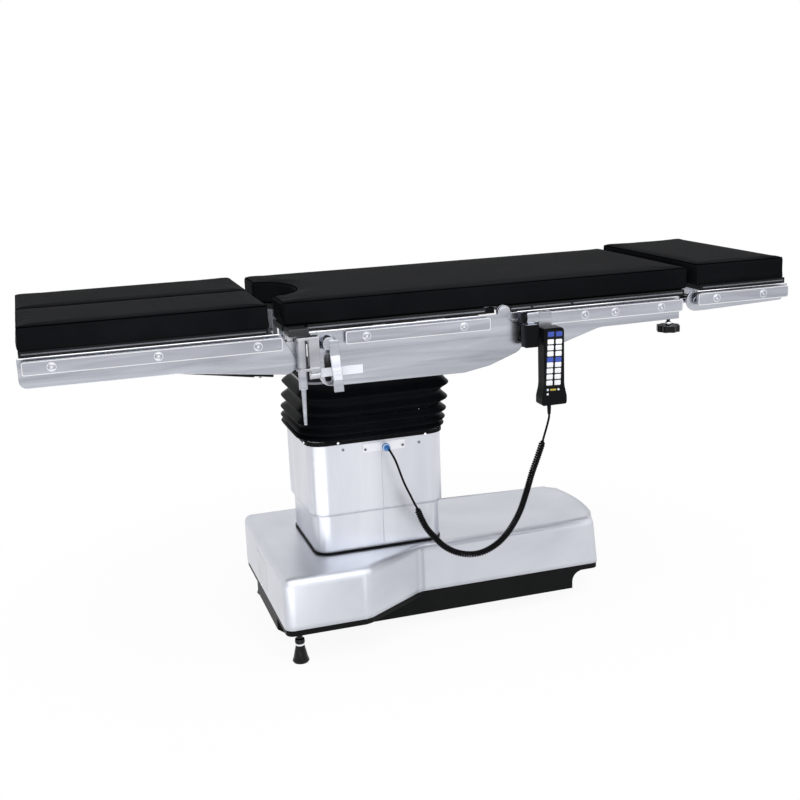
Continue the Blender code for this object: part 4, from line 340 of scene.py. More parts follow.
class Bench:
    """One mesh on the modelling bench, shaped with Blender's own operators as by hand."""

    def __init__(self, name: str) -> None:
        """Clears the bench for a piece of this name."""
        self.name = name
        self.obj: bpy.types.Object | None = None
        bpy.ops.object.select_all(action="DESELECT")

    def take(self) -> "Bench":
        """Names the primitive that was just added and puts its place into its mesh."""
        self.obj = bpy.context.object
        self.obj.name = self.obj.data.name = self.name
        bpy.ops.object.transform_apply(location=True, rotation=True, scale=True)
        return self

    def block(self, low: Sequence[float], high: Sequence[float]) -> "Bench":
        """Starts from a block.

        Args:
            low: One of its corners.
            high: The corner across from it.

        Returns:
            The bench.
        """
        low, high = zip(*(sorted(pair) for pair in zip(low, high)))
        bpy.ops.mesh.primitive_cube_add(size=1, location=[(a + b) / 2 for a, b in zip(low, high)])
        bpy.context.object.scale = [b - a for a, b in zip(low, high)]
        return self.take()

    def rod(self, foot: Sequence[float], head: Sequence[float], radius: float, sides: int = 24) -> "Bench":
        """Starts from a round bar between two points.

        Args:
            foot: The middle of its first end.
            head: The middle of its second end.
            radius: Its radius.
            sides: How many faces go round it.

        Returns:
            The bench.
        """
        start, end = Vector(foot), Vector(head)
        along = end - start
        bpy.ops.mesh.primitive_cylinder_add(vertices=sides, radius=radius, depth=along.length,
                                            location=(start + end) / 2,
                                            rotation=along.to_track_quat("Z", "Y").to_euler())
        return self.take()

    def use(self, obj: bpy.types.Object) -> "Bench":
        """Puts an object that is already there on the bench."""
        obj.select_set(True)
        bpy.context.view_layer.objects.active = obj
        self.obj = obj
        return self

    def shape(self, part: Part, test: Test, tool: Callable, **options) -> "Bench":
        """Runs an edit tool on what a test picks.

        Args:
            part: Whether it works on vertices or edges.
            test: Takes a vertex and its normal, or an edge's middle and its direction.
            tool: The operator.
            **options: What the operator is told.

        Returns:
            The bench.
        """
        bpy.ops.object.mode_set(mode="EDIT")
        bpy.ops.mesh.select_mode(type=part.name)
        bpy.ops.mesh.select_all(action="DESELECT")
        mesh = bmesh.from_edit_mesh(self.obj.data)
        for item in getattr(mesh, part.value):
            if part is Part.VERT:
                middle, way = item.co, item.normal
            else:
                start, end = (vertex.co for vertex in item.verts)
                middle, way = (start + end) / 2, (end - start).normalized()
            if test(middle, way):
                item.select_set(True)
        bmesh.update_edit_mesh(self.obj.data)
        tool(**options)
        bpy.ops.object.mode_set(mode="OBJECT")
        return self

    def bevel(self, test: Test, width: float, segments: int) -> "Bench":
        """Rounds the edges that a test picks."""
        return self.shape(Part.EDGE, test, bpy.ops.mesh.bevel, offset=width, segments=segments)

    def round_along(self, axis: Axis, width: float, segments: int) -> "Bench":
        """Rounds the edges that run along an axis."""
        return self.bevel(lambda at, way: abs(way[axis]) > 0.9, width, segments)

    def round_rim(self, axis: Axis, width: float, segments: int, end: int = 0) -> "Bench":
        """Rounds the edges that lie across an axis.

        Args:
            axis: The axis.
            width: How far the rounding reaches from the edge.
            segments: The rounding's steps.
            end: 1 for the highest edges alone, -1 for the lowest, 0 for all.

        Returns:
            The bench.
        """
        level = max(end * vertex.co[axis] for vertex in self.obj.data.vertices) - LEVEL_GAP
        return self.bevel(lambda at, way: abs(way[axis]) < 0.3 and (not end or end * at[axis] > level),
                          width, segments)

    def modify(self, kind: str, **settings) -> "Bench":
        """Adds a modifier with these settings and applies it."""
        bpy.ops.object.modifier_add(type=kind)
        modifier = self.obj.modifiers[-1]
        for key, value in settings.items():
            setattr(modifier, key, value)
        bpy.ops.object.modifier_apply(modifier=modifier.name)
        return self

    def carve(self, cutter: "Bench") -> "Bench":
        """Takes another bench's piece out of this one and removes it."""
        tool = cutter.obj
        bpy.ops.object.select_all(action="DESELECT")
        self.use(self.obj).modify("BOOLEAN", operation="DIFFERENCE", solver="EXACT", object=tool)
        bpy.data.objects.remove(tool)
        return self

    def smooth(self, degrees: float = 35.0) -> "Bench":
        """Shades the piece smooth, apart from edges sharper than this."""
        bpy.ops.object.select_all(action="DESELECT")
        self.use(self.obj)
        bpy.ops.object.shade_smooth_by_angle(angle=math.radians(degrees))
        return self

    def copies(self, places: Iterable[Matrix]) -> "Bench":
        """Copies the piece to each place, each copy with its own mesh, and joins them.

        Args:
            places: Where each copy goes, from the piece as it was modelled.

        Returns:
            The bench, holding the joined piece.
        """
        template = self.obj
        made = []
        for place in places:
            copy = template.copy()
            copy.data = template.data.copy()
            copy.data.transform(place)
            bpy.context.collection.objects.link(copy)
            made.append(copy)
        bpy.data.objects.remove(template)
        bpy.ops.object.select_all(action="DESELECT")
        for copy in made:
            copy.select_set(True)
        bpy.context.view_layer.objects.active = made[0]
        if len(made) > 1:
            bpy.ops.object.join()
        self.obj = bpy.context.object
        self.obj.name = self.obj.data.name = self.name
        return self

    def done(self, body: str | None, finish: Finish) -> bpy.types.Object:
        """Dresses the piece and hands it to its body.

        Args:
            body: The CAD body that it rides on, or None to leave it unattached.
            finish: Its finish.

        Returns:
            The finished object.
        """
        return hand_over(self.obj, body, finish)


def hand_over(obj: bpy.types.Object, body: str | None, finish: Finish) -> bpy.types.Object:
    """Gives a finished object its material and its body, and logs it."""
    obj.data.materials.clear()
    obj.data.materials.append(finish.material())
    if body:
        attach(obj, body)
    log.info("%s rides on %s in %s", obj.name, body or "two bodies", finish.name)
    return obj


def surface(node: str, start: Sequence[float], way: Sequence[float]) -> Vector:
    """Finds where a straight line meets a CAD node.

    Args:
        node: The node's name.
        start: A point outside it.
        way: The line's direction.

    Returns:
        The first point on the node.
    """
    obj = bpy.data.objects[node]
    mesh = bmesh.new()
    mesh.from_mesh(obj.data)
    hit = BVHTree.FromBMesh(mesh).ray_cast(Vector(start), Vector(way))[0]
    mesh.free()
    if hit is None:
        raise ValueError(f"no surface of {node} on the line from {tuple(start)}")
    return hit


# --------------------------------------------------------------------------- camera, light and floor
@dataclass
class Studio:
    """The camera at the photograph's place, soft lamps, a pale world and a floor that keeps the shadow."""

    eye: Point = (-0.96247, -3.01140, 1.39666)
    yaw: float = 0.30176
    pitch: float = 0.24500
    roll: float = -0.03944
    focal_px: float = 1171.33
    frame_px: float = 800.0
    sensor_mm: float = 36.0
    world_level: float = 0.50
    floor_radius: float = 40.0
    shadow_near: float = 0.3
    shadow_far: float = 1.5
    shadow_share: float = 0.93

    def camera(self) -> None:
        """Places the camera and makes it the scene's."""
        data = bpy.data.cameras.new("photograph_view")
        data.sensor_width = self.sensor_mm
        data.lens = self.focal_px / self.frame_px * self.sensor_mm
        data.clip_end = 200.0
        camera = bpy.data.objects.new("photograph_view", data)
        bpy.context.collection.objects.link(camera)
        ahead = Vector((math.sin(self.yaw) * math.cos(self.pitch),
                        math.cos(self.yaw) * math.cos(self.pitch), -math.sin(self.pitch)))
        level = Vector((math.cos(self.yaw), -math.sin(self.yaw), 0.0))
        up = level.cross(ahead)
        right = math.cos(self.roll) * level + math.sin(self.roll) * up
        above = -math.sin(self.roll) * level + math.cos(self.roll) * up
        turn = Matrix((right, above, -ahead)).transposed().to_4x4()
        camera.matrix_world = Matrix.Translation(self.eye) @ turn
        bpy.context.scene.camera = camera

    def world(self) -> None:
        """Lights the object evenly, and shows white to the camera and in what it mirrors."""
        world = bpy.data.worlds.new("studio")
        bpy.context.scene.world = world
        world.use_nodes = True
        tree = world.node_tree
        path = add_node(tree, "LightPath")
        seen = add_node(tree, "Math", {0: path.outputs["Is Camera Ray"], 1: path.outputs["Is Glossy Ray"]},
                        operation="MAXIMUM")
        seen = add_node(tree, "Math", {0: seen.outputs[0], 1: path.outputs["Is Transmission Ray"]},
                        operation="MAXIMUM")
        level = add_node(tree, "MapRange", {"Value": seen.outputs[0], "To Min": self.world_level})
        back = tree.nodes["Background"]
        back.inputs["Color"].default_value = (1.0, 1.0, 1.0, 1.0)
        tree.links.new(level.outputs["Result"], back.inputs["Strength"])

    def lamps(self) -> None:
        """Hangs a wide softbox over the front, and adds low panels and a strip that draw bright edges."""
        for name, place, aim, size, level in (
                ("softbox", (0.0, -1.7, 2.3), (0.0, -0.1, 0.5), (3.6, 2.8), 1.45),
                ("floor_panel", (-1.0, -1.2, 0.012), (-1.0, -1.2, 1.0), (1.25, 1.2), 1.6),
                ("floor_panel_middle", (-0.27, -1.50, 0.012), (-0.27, -1.50, 1.0), (0.30, 0.8), 1.15),
                ("strip_head", (2.9, -1.6, 1.6), (0.3, 0.0, 0.6), (0.5, 2.2), 0.3)):
            data = bpy.data.lights.new(name, "AREA")
            data.shape = "RECTANGLE"
            data.size, data.size_y = size
            data.energy = level * 4 * size[0] * size[1]
            lamp = bpy.data.objects.new(name, data)
            lamp.location = place
            lamp.visible_camera = False
            lamp.rotation_euler = (Vector(aim) - Vector(place)).to_track_quat("-Z", "Y").to_euler()
            bpy.context.collection.objects.link(lamp)

    def floor(self) -> None:
        """Lays a white floor that fades into the backdrop and holds a soft shadow near the table."""
        bench = Bench("studio_floor")
        bpy.ops.mesh.primitive_circle_add(vertices=96, radius=self.floor_radius, fill_type="NGON")
        floor = bench.take().obj
        material = bpy.data.materials.new("paper_sweep_white")
        material.use_nodes = True
        tree = material.node_tree
        matt = tree.nodes["Principled BSDF"]
        matt.inputs["Base Color"].default_value = linear("#f6f6f6")
        matt.inputs["Roughness"].default_value = 0.95
        matt.inputs["Specular IOR Level"].default_value = 0.1
        glow = add_node(tree, "Emission", {"Color": (1.0, 1.0, 1.0, 1.0), "Strength": 1.0})
        place = add_node(tree, "TexCoord").outputs["Object"]
        away = add_node(tree, "VectorMath", {0: place}, operation="LENGTH").outputs["Value"]
        fade = add_node(tree, "MapRange", {"Value": away, "From Min": self.shadow_near,
                                           "From Max": self.shadow_far,
                                           "To Min": self.shadow_share}).outputs["Result"]
        path = add_node(tree, "LightPath")
        direct = add_node(tree, "Math", {0: path.outputs["Is Camera Ray"], 1: fade},
                          operation="MULTIPLY").outputs[0]
        part = add_node(tree, "Math", {0: direct, 1: path.outputs["Is Glossy Ray"]},
                        operation="MAXIMUM").outputs[0]
        mixed = add_node(tree, "MixShader", {0: part, 1: matt.outputs[0], 2: glow.outputs[0]})
        tree.links.new(mixed.outputs[0], tree.nodes["Material Output"].inputs["Surface"])
        floor.data.materials.append(material)

    def build(self) -> None:
        """Sets the whole stage and the plain view transform."""
        self.camera()
        self.world()
        self.lamps()
        self.floor()
        bpy.context.scene.view_settings.view_transform = "Standard"


# --------------------------------------------------------------------------- curly cord
@dataclass
class CurlyCord:
    """The pendant's cord in one piece: a straight lead, a wound middle and a short tail."""

    diameter: float = 0.006
    turn_radius: float = 0.006
    pitch: float = 0.00635
    steps: int = 14
    growth: float = 1.5  # turns over which the winding opens to its full radius
    lead: tuple[Point, ...] = (
        (-0.1235, -0.2035, 0.5315), (-0.1235, -0.2065, 0.5315), (-0.1215, -0.2115, 0.5265),
        (-0.115, -0.215, 0.513), (-0.108, -0.218, 0.494), (-0.101, -0.221, 0.470), (-0.092, -0.225, 0.441),
        (-0.079, -0.231, 0.409), (-0.068, -0.2365, 0.382), (-0.0650, -0.2385, 0.3755),
    )
    wound: tuple[Point, ...] = (
        (-0.056, -0.243, 0.348), (-0.044, -0.248, 0.320), (-0.027, -0.253, 0.296), (-0.002, -0.260, 0.267),
        (0.028, -0.266, 0.247), (0.062, -0.272, 0.237), (0.095, -0.278, 0.238), (0.127, -0.284, 0.251),
        (0.157, -0.290, 0.275), (0.183, -0.296, 0.311), (0.202, -0.301, 0.349), (0.214, -0.305, 0.386),
        (0.223, -0.309, 0.419), (0.232, -0.312, 0.452), (0.243, -0.315, 0.484), (0.2535, -0.317, 0.514),
        (0.2590, -0.3180, 0.5315), (0.2615, -0.3185, 0.540),
    )
    tail: tuple[Point, ...] = (
        (0.2680, -0.3195, 0.562), (0.2740, -0.3200, 0.582), (0.2790, -0.3202, 0.602),
        (0.2790, -0.3202, 0.6100),
    )

    @staticmethod
    def through(points: Sequence[Point], spacing: float) -> list[Vector]:
        """Runs a Catmull-Rom curve through points.

        Args:
            points: The points, in order.
            spacing: About how far apart the curve's own points are.

        Returns:
            The curve's points.
        """
        route = [Vector(p) for p in points]
        route = [2 * route[0] - route[1]] + route + [2 * route[-1] - route[-2]]
        found = []
        for a, b, c, d in zip(route, route[1:], route[2:], route[3:]):
            count = max(1, round((c - b).length / spacing))
            for step in range(count):
                t = step / count
                found.append(0.5 * (2 * b + (c - a) * t + (2 * a - 5 * b + 4 * c - d) * t * t
                                    + (3 * b - a - 3 * c + d) * t ** 3))
        return found + [route[-2]]

    def centreline(self) -> list[Vector]:
        """Returns the cord's own centreline, wound about the middle stretch of the route."""
        lead = self.through(self.lead, 2 * self.diameter)
        axis = self.through((self.lead[-1],) + self.wound, 0.002)
        tail = self.through((self.wound[-1],) + self.tail, 2 * self.diameter)
        lengths = [0.0]
        for a, b in zip(axis, axis[1:]):
            lengths.append(lengths[-1] + (b - a).length)
        total = lengths[-1]
        turns = round(total / self.pitch)
        opening = self.growth * self.pitch
        across = Vector((0.0, 1.0, 0.0))
        made, at = [], 0
        for step in range(turns * self.steps + 1):
            s = min(total, step * total / (turns * self.steps))
            while at < len(axis) - 2 and lengths[at + 1] < s:
                at += 1
            part = (s - lengths[at]) / (lengths[at + 1] - lengths[at])
            ahead = (axis[at + 1] - axis[at]).normalized()
            across = (across - ahead * across.dot(ahead)).normalized()
            beside = ahead.cross(across)
            turn = 2 * math.pi * step / self.steps
            grown = self.turn_radius * min(1.0, s / opening, (total - s) / opening)
            made.append(axis[at].lerp(axis[at + 1], part)
                        + grown * (across * math.cos(turn) + beside * math.sin(turn)))
        return lead[:-1] + made + tail[1:]

    def build(self) -> None:
        points = self.centreline()
        curve = bpy.data.curves.new("pendant_curly_cord", "CURVE")
        curve.dimensions = "3D"
        curve.bevel_depth = self.diameter / 2
        curve.bevel_resolution = 2
        curve.use_fill_caps = True
        spline = curve.splines.new("POLY")
        spline.points.add(len(points) - 1)
        for point, place in zip(spline.points, points):
            point.co = (*place, 1.0)
        spline.use_smooth = True
        cord = bpy.data.objects.new("pendant_curly_cord", curve)
        bpy.context.collection.objects.link(cord)
        hand_over(cord, "column", CORD_JACKET)
        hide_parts("cord_lead", "cord_coil", "cord_tail")


# --------------------------------------------------------------------------- upholstery
@dataclass
class Upholstery:
    """Foam pads in coated fabric: one mattress over seat and back, two leg pads and a head pad."""

    back_hinge: Sequence[float]
    bend: float = 0.075
    long_voxel: float = 0.0068
    short_voxel: float = 0.0060
    corner: float = 0.007
    top_round: float = 0.0030
    foot_round: float = 0.002
    shrink: float = 0.0006
    cut_depth: float = 0.085
    cut_half_width: float = 0.130
    pressure: float = 4.0
    frames: int = 20
    resting_height: float = 0.005
    swell_cap: float = 0.0022
    seam_drop: float = 0.0038
    seam_radius: float = 0.0014

    def form(self, name: str, low: Sequence[float], high: Sequence[float], voxel: float,
             cut: bool = False) -> Bench:
        """Models a pad's foam: a block with rounded corners and edges, and a curved cut-out if asked.

        Args:
            name: The piece's name.
            low: The lowest corner of the space that the CAD pad holds.
            high: Its highest corner.
            voxel: The grid that the skin is remeshed on.
            cut: Whether the perineal cut-out is taken from the foot end.

        Returns:
            The bench with the even, remeshed foam.
        """
        small = [a + self.shrink for a in low[:2]] + [low[2]]
        large = [b - self.shrink for b in high]
        bench = Bench(name).block(small, large)
        bench.round_along(Axis.Z, self.corner, 4)
        if cut:
            bench.carve(self.cutter((small[0], 0.0, (low[2] + high[2]) / 2)))
        bench.round_rim(Axis.Z, self.top_round, 3, end=1).round_rim(Axis.Z, self.foot_round, 1, end=-1)
        bench.modify("REMESH", mode="VOXEL", voxel_size=voxel)
        bench.shape(Part.VERT, lambda at, way: True, bpy.ops.mesh.vertices_smooth, factor=0.35, repeat=1)
        return bench

    def cutter(self, middle: Sequence[float]) -> Bench:
        """Makes the half ellipse that the cut-out takes away."""
        x, y, z = middle
        cutter = Bench("cut_out_tool").rod((0, 0, -0.1), (0, 0, 0.1), 1.0, 64)
        cutter.obj.data.transform(Matrix.Translation((x, y, z)) @ Matrix.Diagonal(
            (self.cut_depth, self.cut_half_width, 1.0, 1.0)))
        return cutter

    def swell(self, obj: bpy.types.Object, foot: float) -> None:
        """Blows the cover up over the foam with a cloth simulation, and keeps what rests where it is.

        Args:
            obj: The remeshed pad.
            foot: The height at which the pad lies on its board.
        """
        held = obj.vertex_groups.new(name="resting")
        rest = [v.co.copy() for v in obj.data.vertices]
        resting = [at for at, place in enumerate(rest) if place.z < foot + self.resting_height]
        held.add(resting, 1.0, "REPLACE")
        cloth = obj.modifiers.new("cover", "CLOTH")
        cloth.settings.use_pressure = True
        cloth.settings.uniform_pressure_force = self.pressure
        cloth.settings.vertex_group_mass = held.name
        cloth.settings.quality = 4
        cloth.settings.effector_weights.gravity = 0.0
        cloth.point_cache.frame_start, cloth.point_cache.frame_end = 1, self.frames
        for frame in range(1, self.frames + 1):
            bpy.context.scene.frame_set(frame)
        swollen = obj.evaluated_get(bpy.context.evaluated_depsgraph_get()).data
        blown = [v.co.copy() for v in swollen.vertices]
        obj.modifiers.remove(cloth)
        obj.vertex_groups.remove(held)
        for vertex, start, end in zip(obj.data.vertices, rest, blown):
            step = end - start
            vertex.co = start + step * min(1.0, self.swell_cap / max(step.length, 1e-9))
        bpy.context.scene.frame_set(1)

    def seam(self, name: str, pad: bpy.types.Object, height: float) -> Bench:
        """Runs a seam cord round a pad, on the line where a level plane cuts its cover.

        Args:
            name: The piece's name.
            pad: The finished pad.
            height: The plane's height.

        Returns:
            The bench with the cord.
        """
        copy = pad.copy()
        copy.data = pad.data.copy()
        bpy.context.collection.objects.link(copy)
        bench = Bench(name).use(copy)
        copy.name = copy.data.name = name
        bpy.ops.object.mode_set(mode="EDIT")
        bpy.ops.mesh.select_all(action="SELECT")
        bpy.ops.mesh.bisect(plane_co=(0.0, 0.0, height), plane_no=(0.0, 0.0, 1.0))
        bpy.ops.mesh.select_all(action="INVERT")
        bpy.ops.mesh.delete(type="VERT")
        bpy.ops.object.mode_set(mode="OBJECT")
        bpy.ops.object.convert(target="CURVE")
        line = bpy.context.object
        line.data.bevel_depth = self.seam_radius
        line.data.bevel_resolution = 1
        bpy.ops.object.convert(target="MESH")
        bench.obj = bpy.context.object
        bench.obj.name = bench.obj.data.name = name
        return bench

    def upholster(self, name: str, low: Sequence[float], high: Sequence[float], voxel: float,
                  cut: bool = False) -> Bench:
        """Makes a pad's final skin: form, simulation and one subdivision."""
        bench = self.form(name, low, high, voxel, cut)
        self.swell(bench.obj, low[2])
        bpy.ops.object.select_all(action="DESELECT")
        return bench.use(bench.obj).modify("SUBSURF", levels=1, render_levels=1).smooth(180.0)

    def build(self) -> None:
        """Makes the four pads with their seams and hands them over."""
        seat_low, back_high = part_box("seat_pad")[0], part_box("back_pad")[1]
        mattress = self.upholster("seat_back_mattress", seat_low, back_high, self.long_voxel, cut=True)
        line = self.seam("seat_back_mattress_seam", mattress.obj, back_high[2] - self.seam_drop)
        # The seam cord's near-black, shineless finish paints the shade in the seam's groove
        for bench, finish in ((mattress, VINYL), (line, PIPING_PAINTED_SHADE)):
            obj = bench.done(None, finish)
            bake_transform(obj)
        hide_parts("seat_pad", "back_pad")
        self.end_pad("leg_pad_left", "leg_left", "leg_mattress_left")
        self.end_pad("leg_pad_right", "leg_right", "leg_mattress_right")
        self.end_pad("head_pad", "head", "head_mattress")

    def end_pad(self, node: str, body: str, name: str) -> None:
        """Makes a pad that stays on one body, with its seam.

        Args:
            node: The CAD pad that it stands for.
            body: The body that it rides on.
            name: The piece's name.
        """
        low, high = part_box(node)
        pad = self.upholster(name, low, high, self.short_voxel)
        line = self.seam(name + "_seam", pad.obj, high[2] - self.seam_drop)
        pad.done(body, VINYL)
        # The seam cord's near-black finish is painted shade of the seam's groove
        line.done(body, PIPING_PAINTED_SHADE)
        if body == "head":
            for piece in (pad.obj, line.obj):
                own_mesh(piece)
        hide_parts(node)


# --------------------------------------------------------------------------- bellows
@dataclass
class Bellows:
    """The folded cover between column and table top, in two pieces that meet in a valley."""

    centre_x: float = -0.1395
    half_length: float = 0.1855
    half_width: float = 0.155
    corner: float = 0.078
    lean: float = 0.017
    foot: float = 0.5585
    head: float = 0.7160
    foot_out: float = 0.0085
    head_out: float = 0.0090
    valley: float = 0.0065
    valley_round: float = 0.0016
    valley_share: float = 0.16
    bead: float = 0.0014
    bead_drop: float = 0.0007
    wall: float = 0.0018
    split_fold: int = 3
    crests: tuple[tuple[float, float], ...] = (
        (0.5640, 0.0205), (0.5810, 0.0225), (0.6045, 0.0240), (0.6360, 0.0245), (0.6755, 0.0245),
    )

    def stations(self) -> list[tuple[float, float]]:
        """Returns the height and outset of each loop, from the foot up."""
        loops = [(self.foot, self.foot_out)]
        last = self.foot
        for at, (height, out) in enumerate(self.crests):
            if at:
                middle, reach = (last + height) / 2, (height - last) * self.valley_share
                beside = self.valley + self.valley_round
                loops += [(middle - reach, beside), (middle, self.valley), (middle + reach, beside)]
            drawn_in = out - self.bead_drop
            loops += [(height - self.bead, drawn_in), (height, out), (height + self.bead, drawn_in)]
            last = height
        rise = self.head - last
        return loops + [(last + 0.35 * rise, self.valley + 0.003), (last + 0.6 * rise, self.valley),
                        (self.head, self.head_out)]

    def middle(self, height: float) -> float:
        """Returns the X of the bellows' middle at a height, for it leans a little to the head end."""
        return self.centre_x + self.lean * (height - self.foot) / (self.head - self.foot)

    def skin(self, name: str, loops: Sequence[tuple[float, float]]) -> Bench:
        """Draws one piece of the bellows upwards from its lowest loop.

        Args:
            name: The piece's name.
            loops: Height and outset of each loop.

        Returns:
            The bench with the closed skin.
        """
        height, out = loops[0]
        bench = Bench(name)
        bpy.ops.mesh.primitive_plane_add(size=1, location=(self.middle(height), 0.0, height))
        bpy.context.object.scale = (2 * (self.half_length + out), 2 * (self.half_width + out), 1.0)
        bench.take()
        bpy.ops.object.mode_set(mode="EDIT")
        bpy.ops.mesh.select_all(action="SELECT")
        bpy.ops.mesh.bevel(offset=self.corner + out, segments=9, affect="VERTICES")
        bpy.ops.mesh.select_all(action="SELECT")
        bpy.ops.mesh.delete(type="ONLY_FACE")
        bpy.ops.mesh.select_all(action="SELECT")
        for (low, before), (high, after) in zip(loops, loops[1:]):
            step = (self.middle(high) - self.middle(low), 0.0, high - low)
            bpy.ops.mesh.extrude_edges_move(TRANSFORM_OT_translate={"value": step})
            bpy.ops.transform.resize(value=((self.half_length + after) / (self.half_length + before),
                                            (self.half_width + after) / (self.half_width + before), 1.0),
                                     center_override=(self.middle(high), 0.0, high))
        bpy.ops.mesh.select_all(action="SELECT")
        bpy.ops.mesh.normals_make_consistent(inside=False)
        bpy.ops.object.mode_set(mode="OBJECT")
        bench.modify("SOLIDIFY", thickness=self.wall, offset=-1.0)
        return bench.modify("SUBSURF", levels=1, render_levels=1).smooth(180.0)

    def build(self) -> None:
        """Makes both pieces and hides the CAD bellows."""
        loops = self.stations()
        cut = 6 * self.split_fold - 1  # a fold adds six loops, and this one is the valley below it
        lower = self.skin("bellows_lower", loops[:cut + 1]).done(None, NEOPRENE)
        upper = self.skin("bellows_upper", loops[cut:]).done(None, NEOPRENE)
        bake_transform(lower)
        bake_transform(upper)
        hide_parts("bellows")
        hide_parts("bellows")


# --------------------------------------------------------------------------- bolts, seams and trims
def body_of(section: str, side: str) -> str:
    """Names the body of a section of the table top, of which only the leg section comes in two."""
    return f"{section}_{side}" if section == "leg" else section


class Look(Enum):
    """The side that a screw faces, as the level direction from outside towards the table."""

    LEFT = (0, 1, 0)
    RIGHT = (0, -1, 0)
    FOOT_END = (1, 0, 0)
    HEAD_END = (-1, 0, 0)

    def start(self, across: float, height: float) -> Point:
        """Returns a point a metre outside the table, at this place across the view and this height."""
        x, y, _ = self.value
        return -x or across, -y or across, height


@dataclass(frozen=True)
class Seam:
    """A folded joint in a sheet, drawn as a narrow raised strip on both long sides."""

    node: str
    body: str
    x: float
    half_width: float
    foot: float
    head: float
    level: float
    rise: float
    edge: float


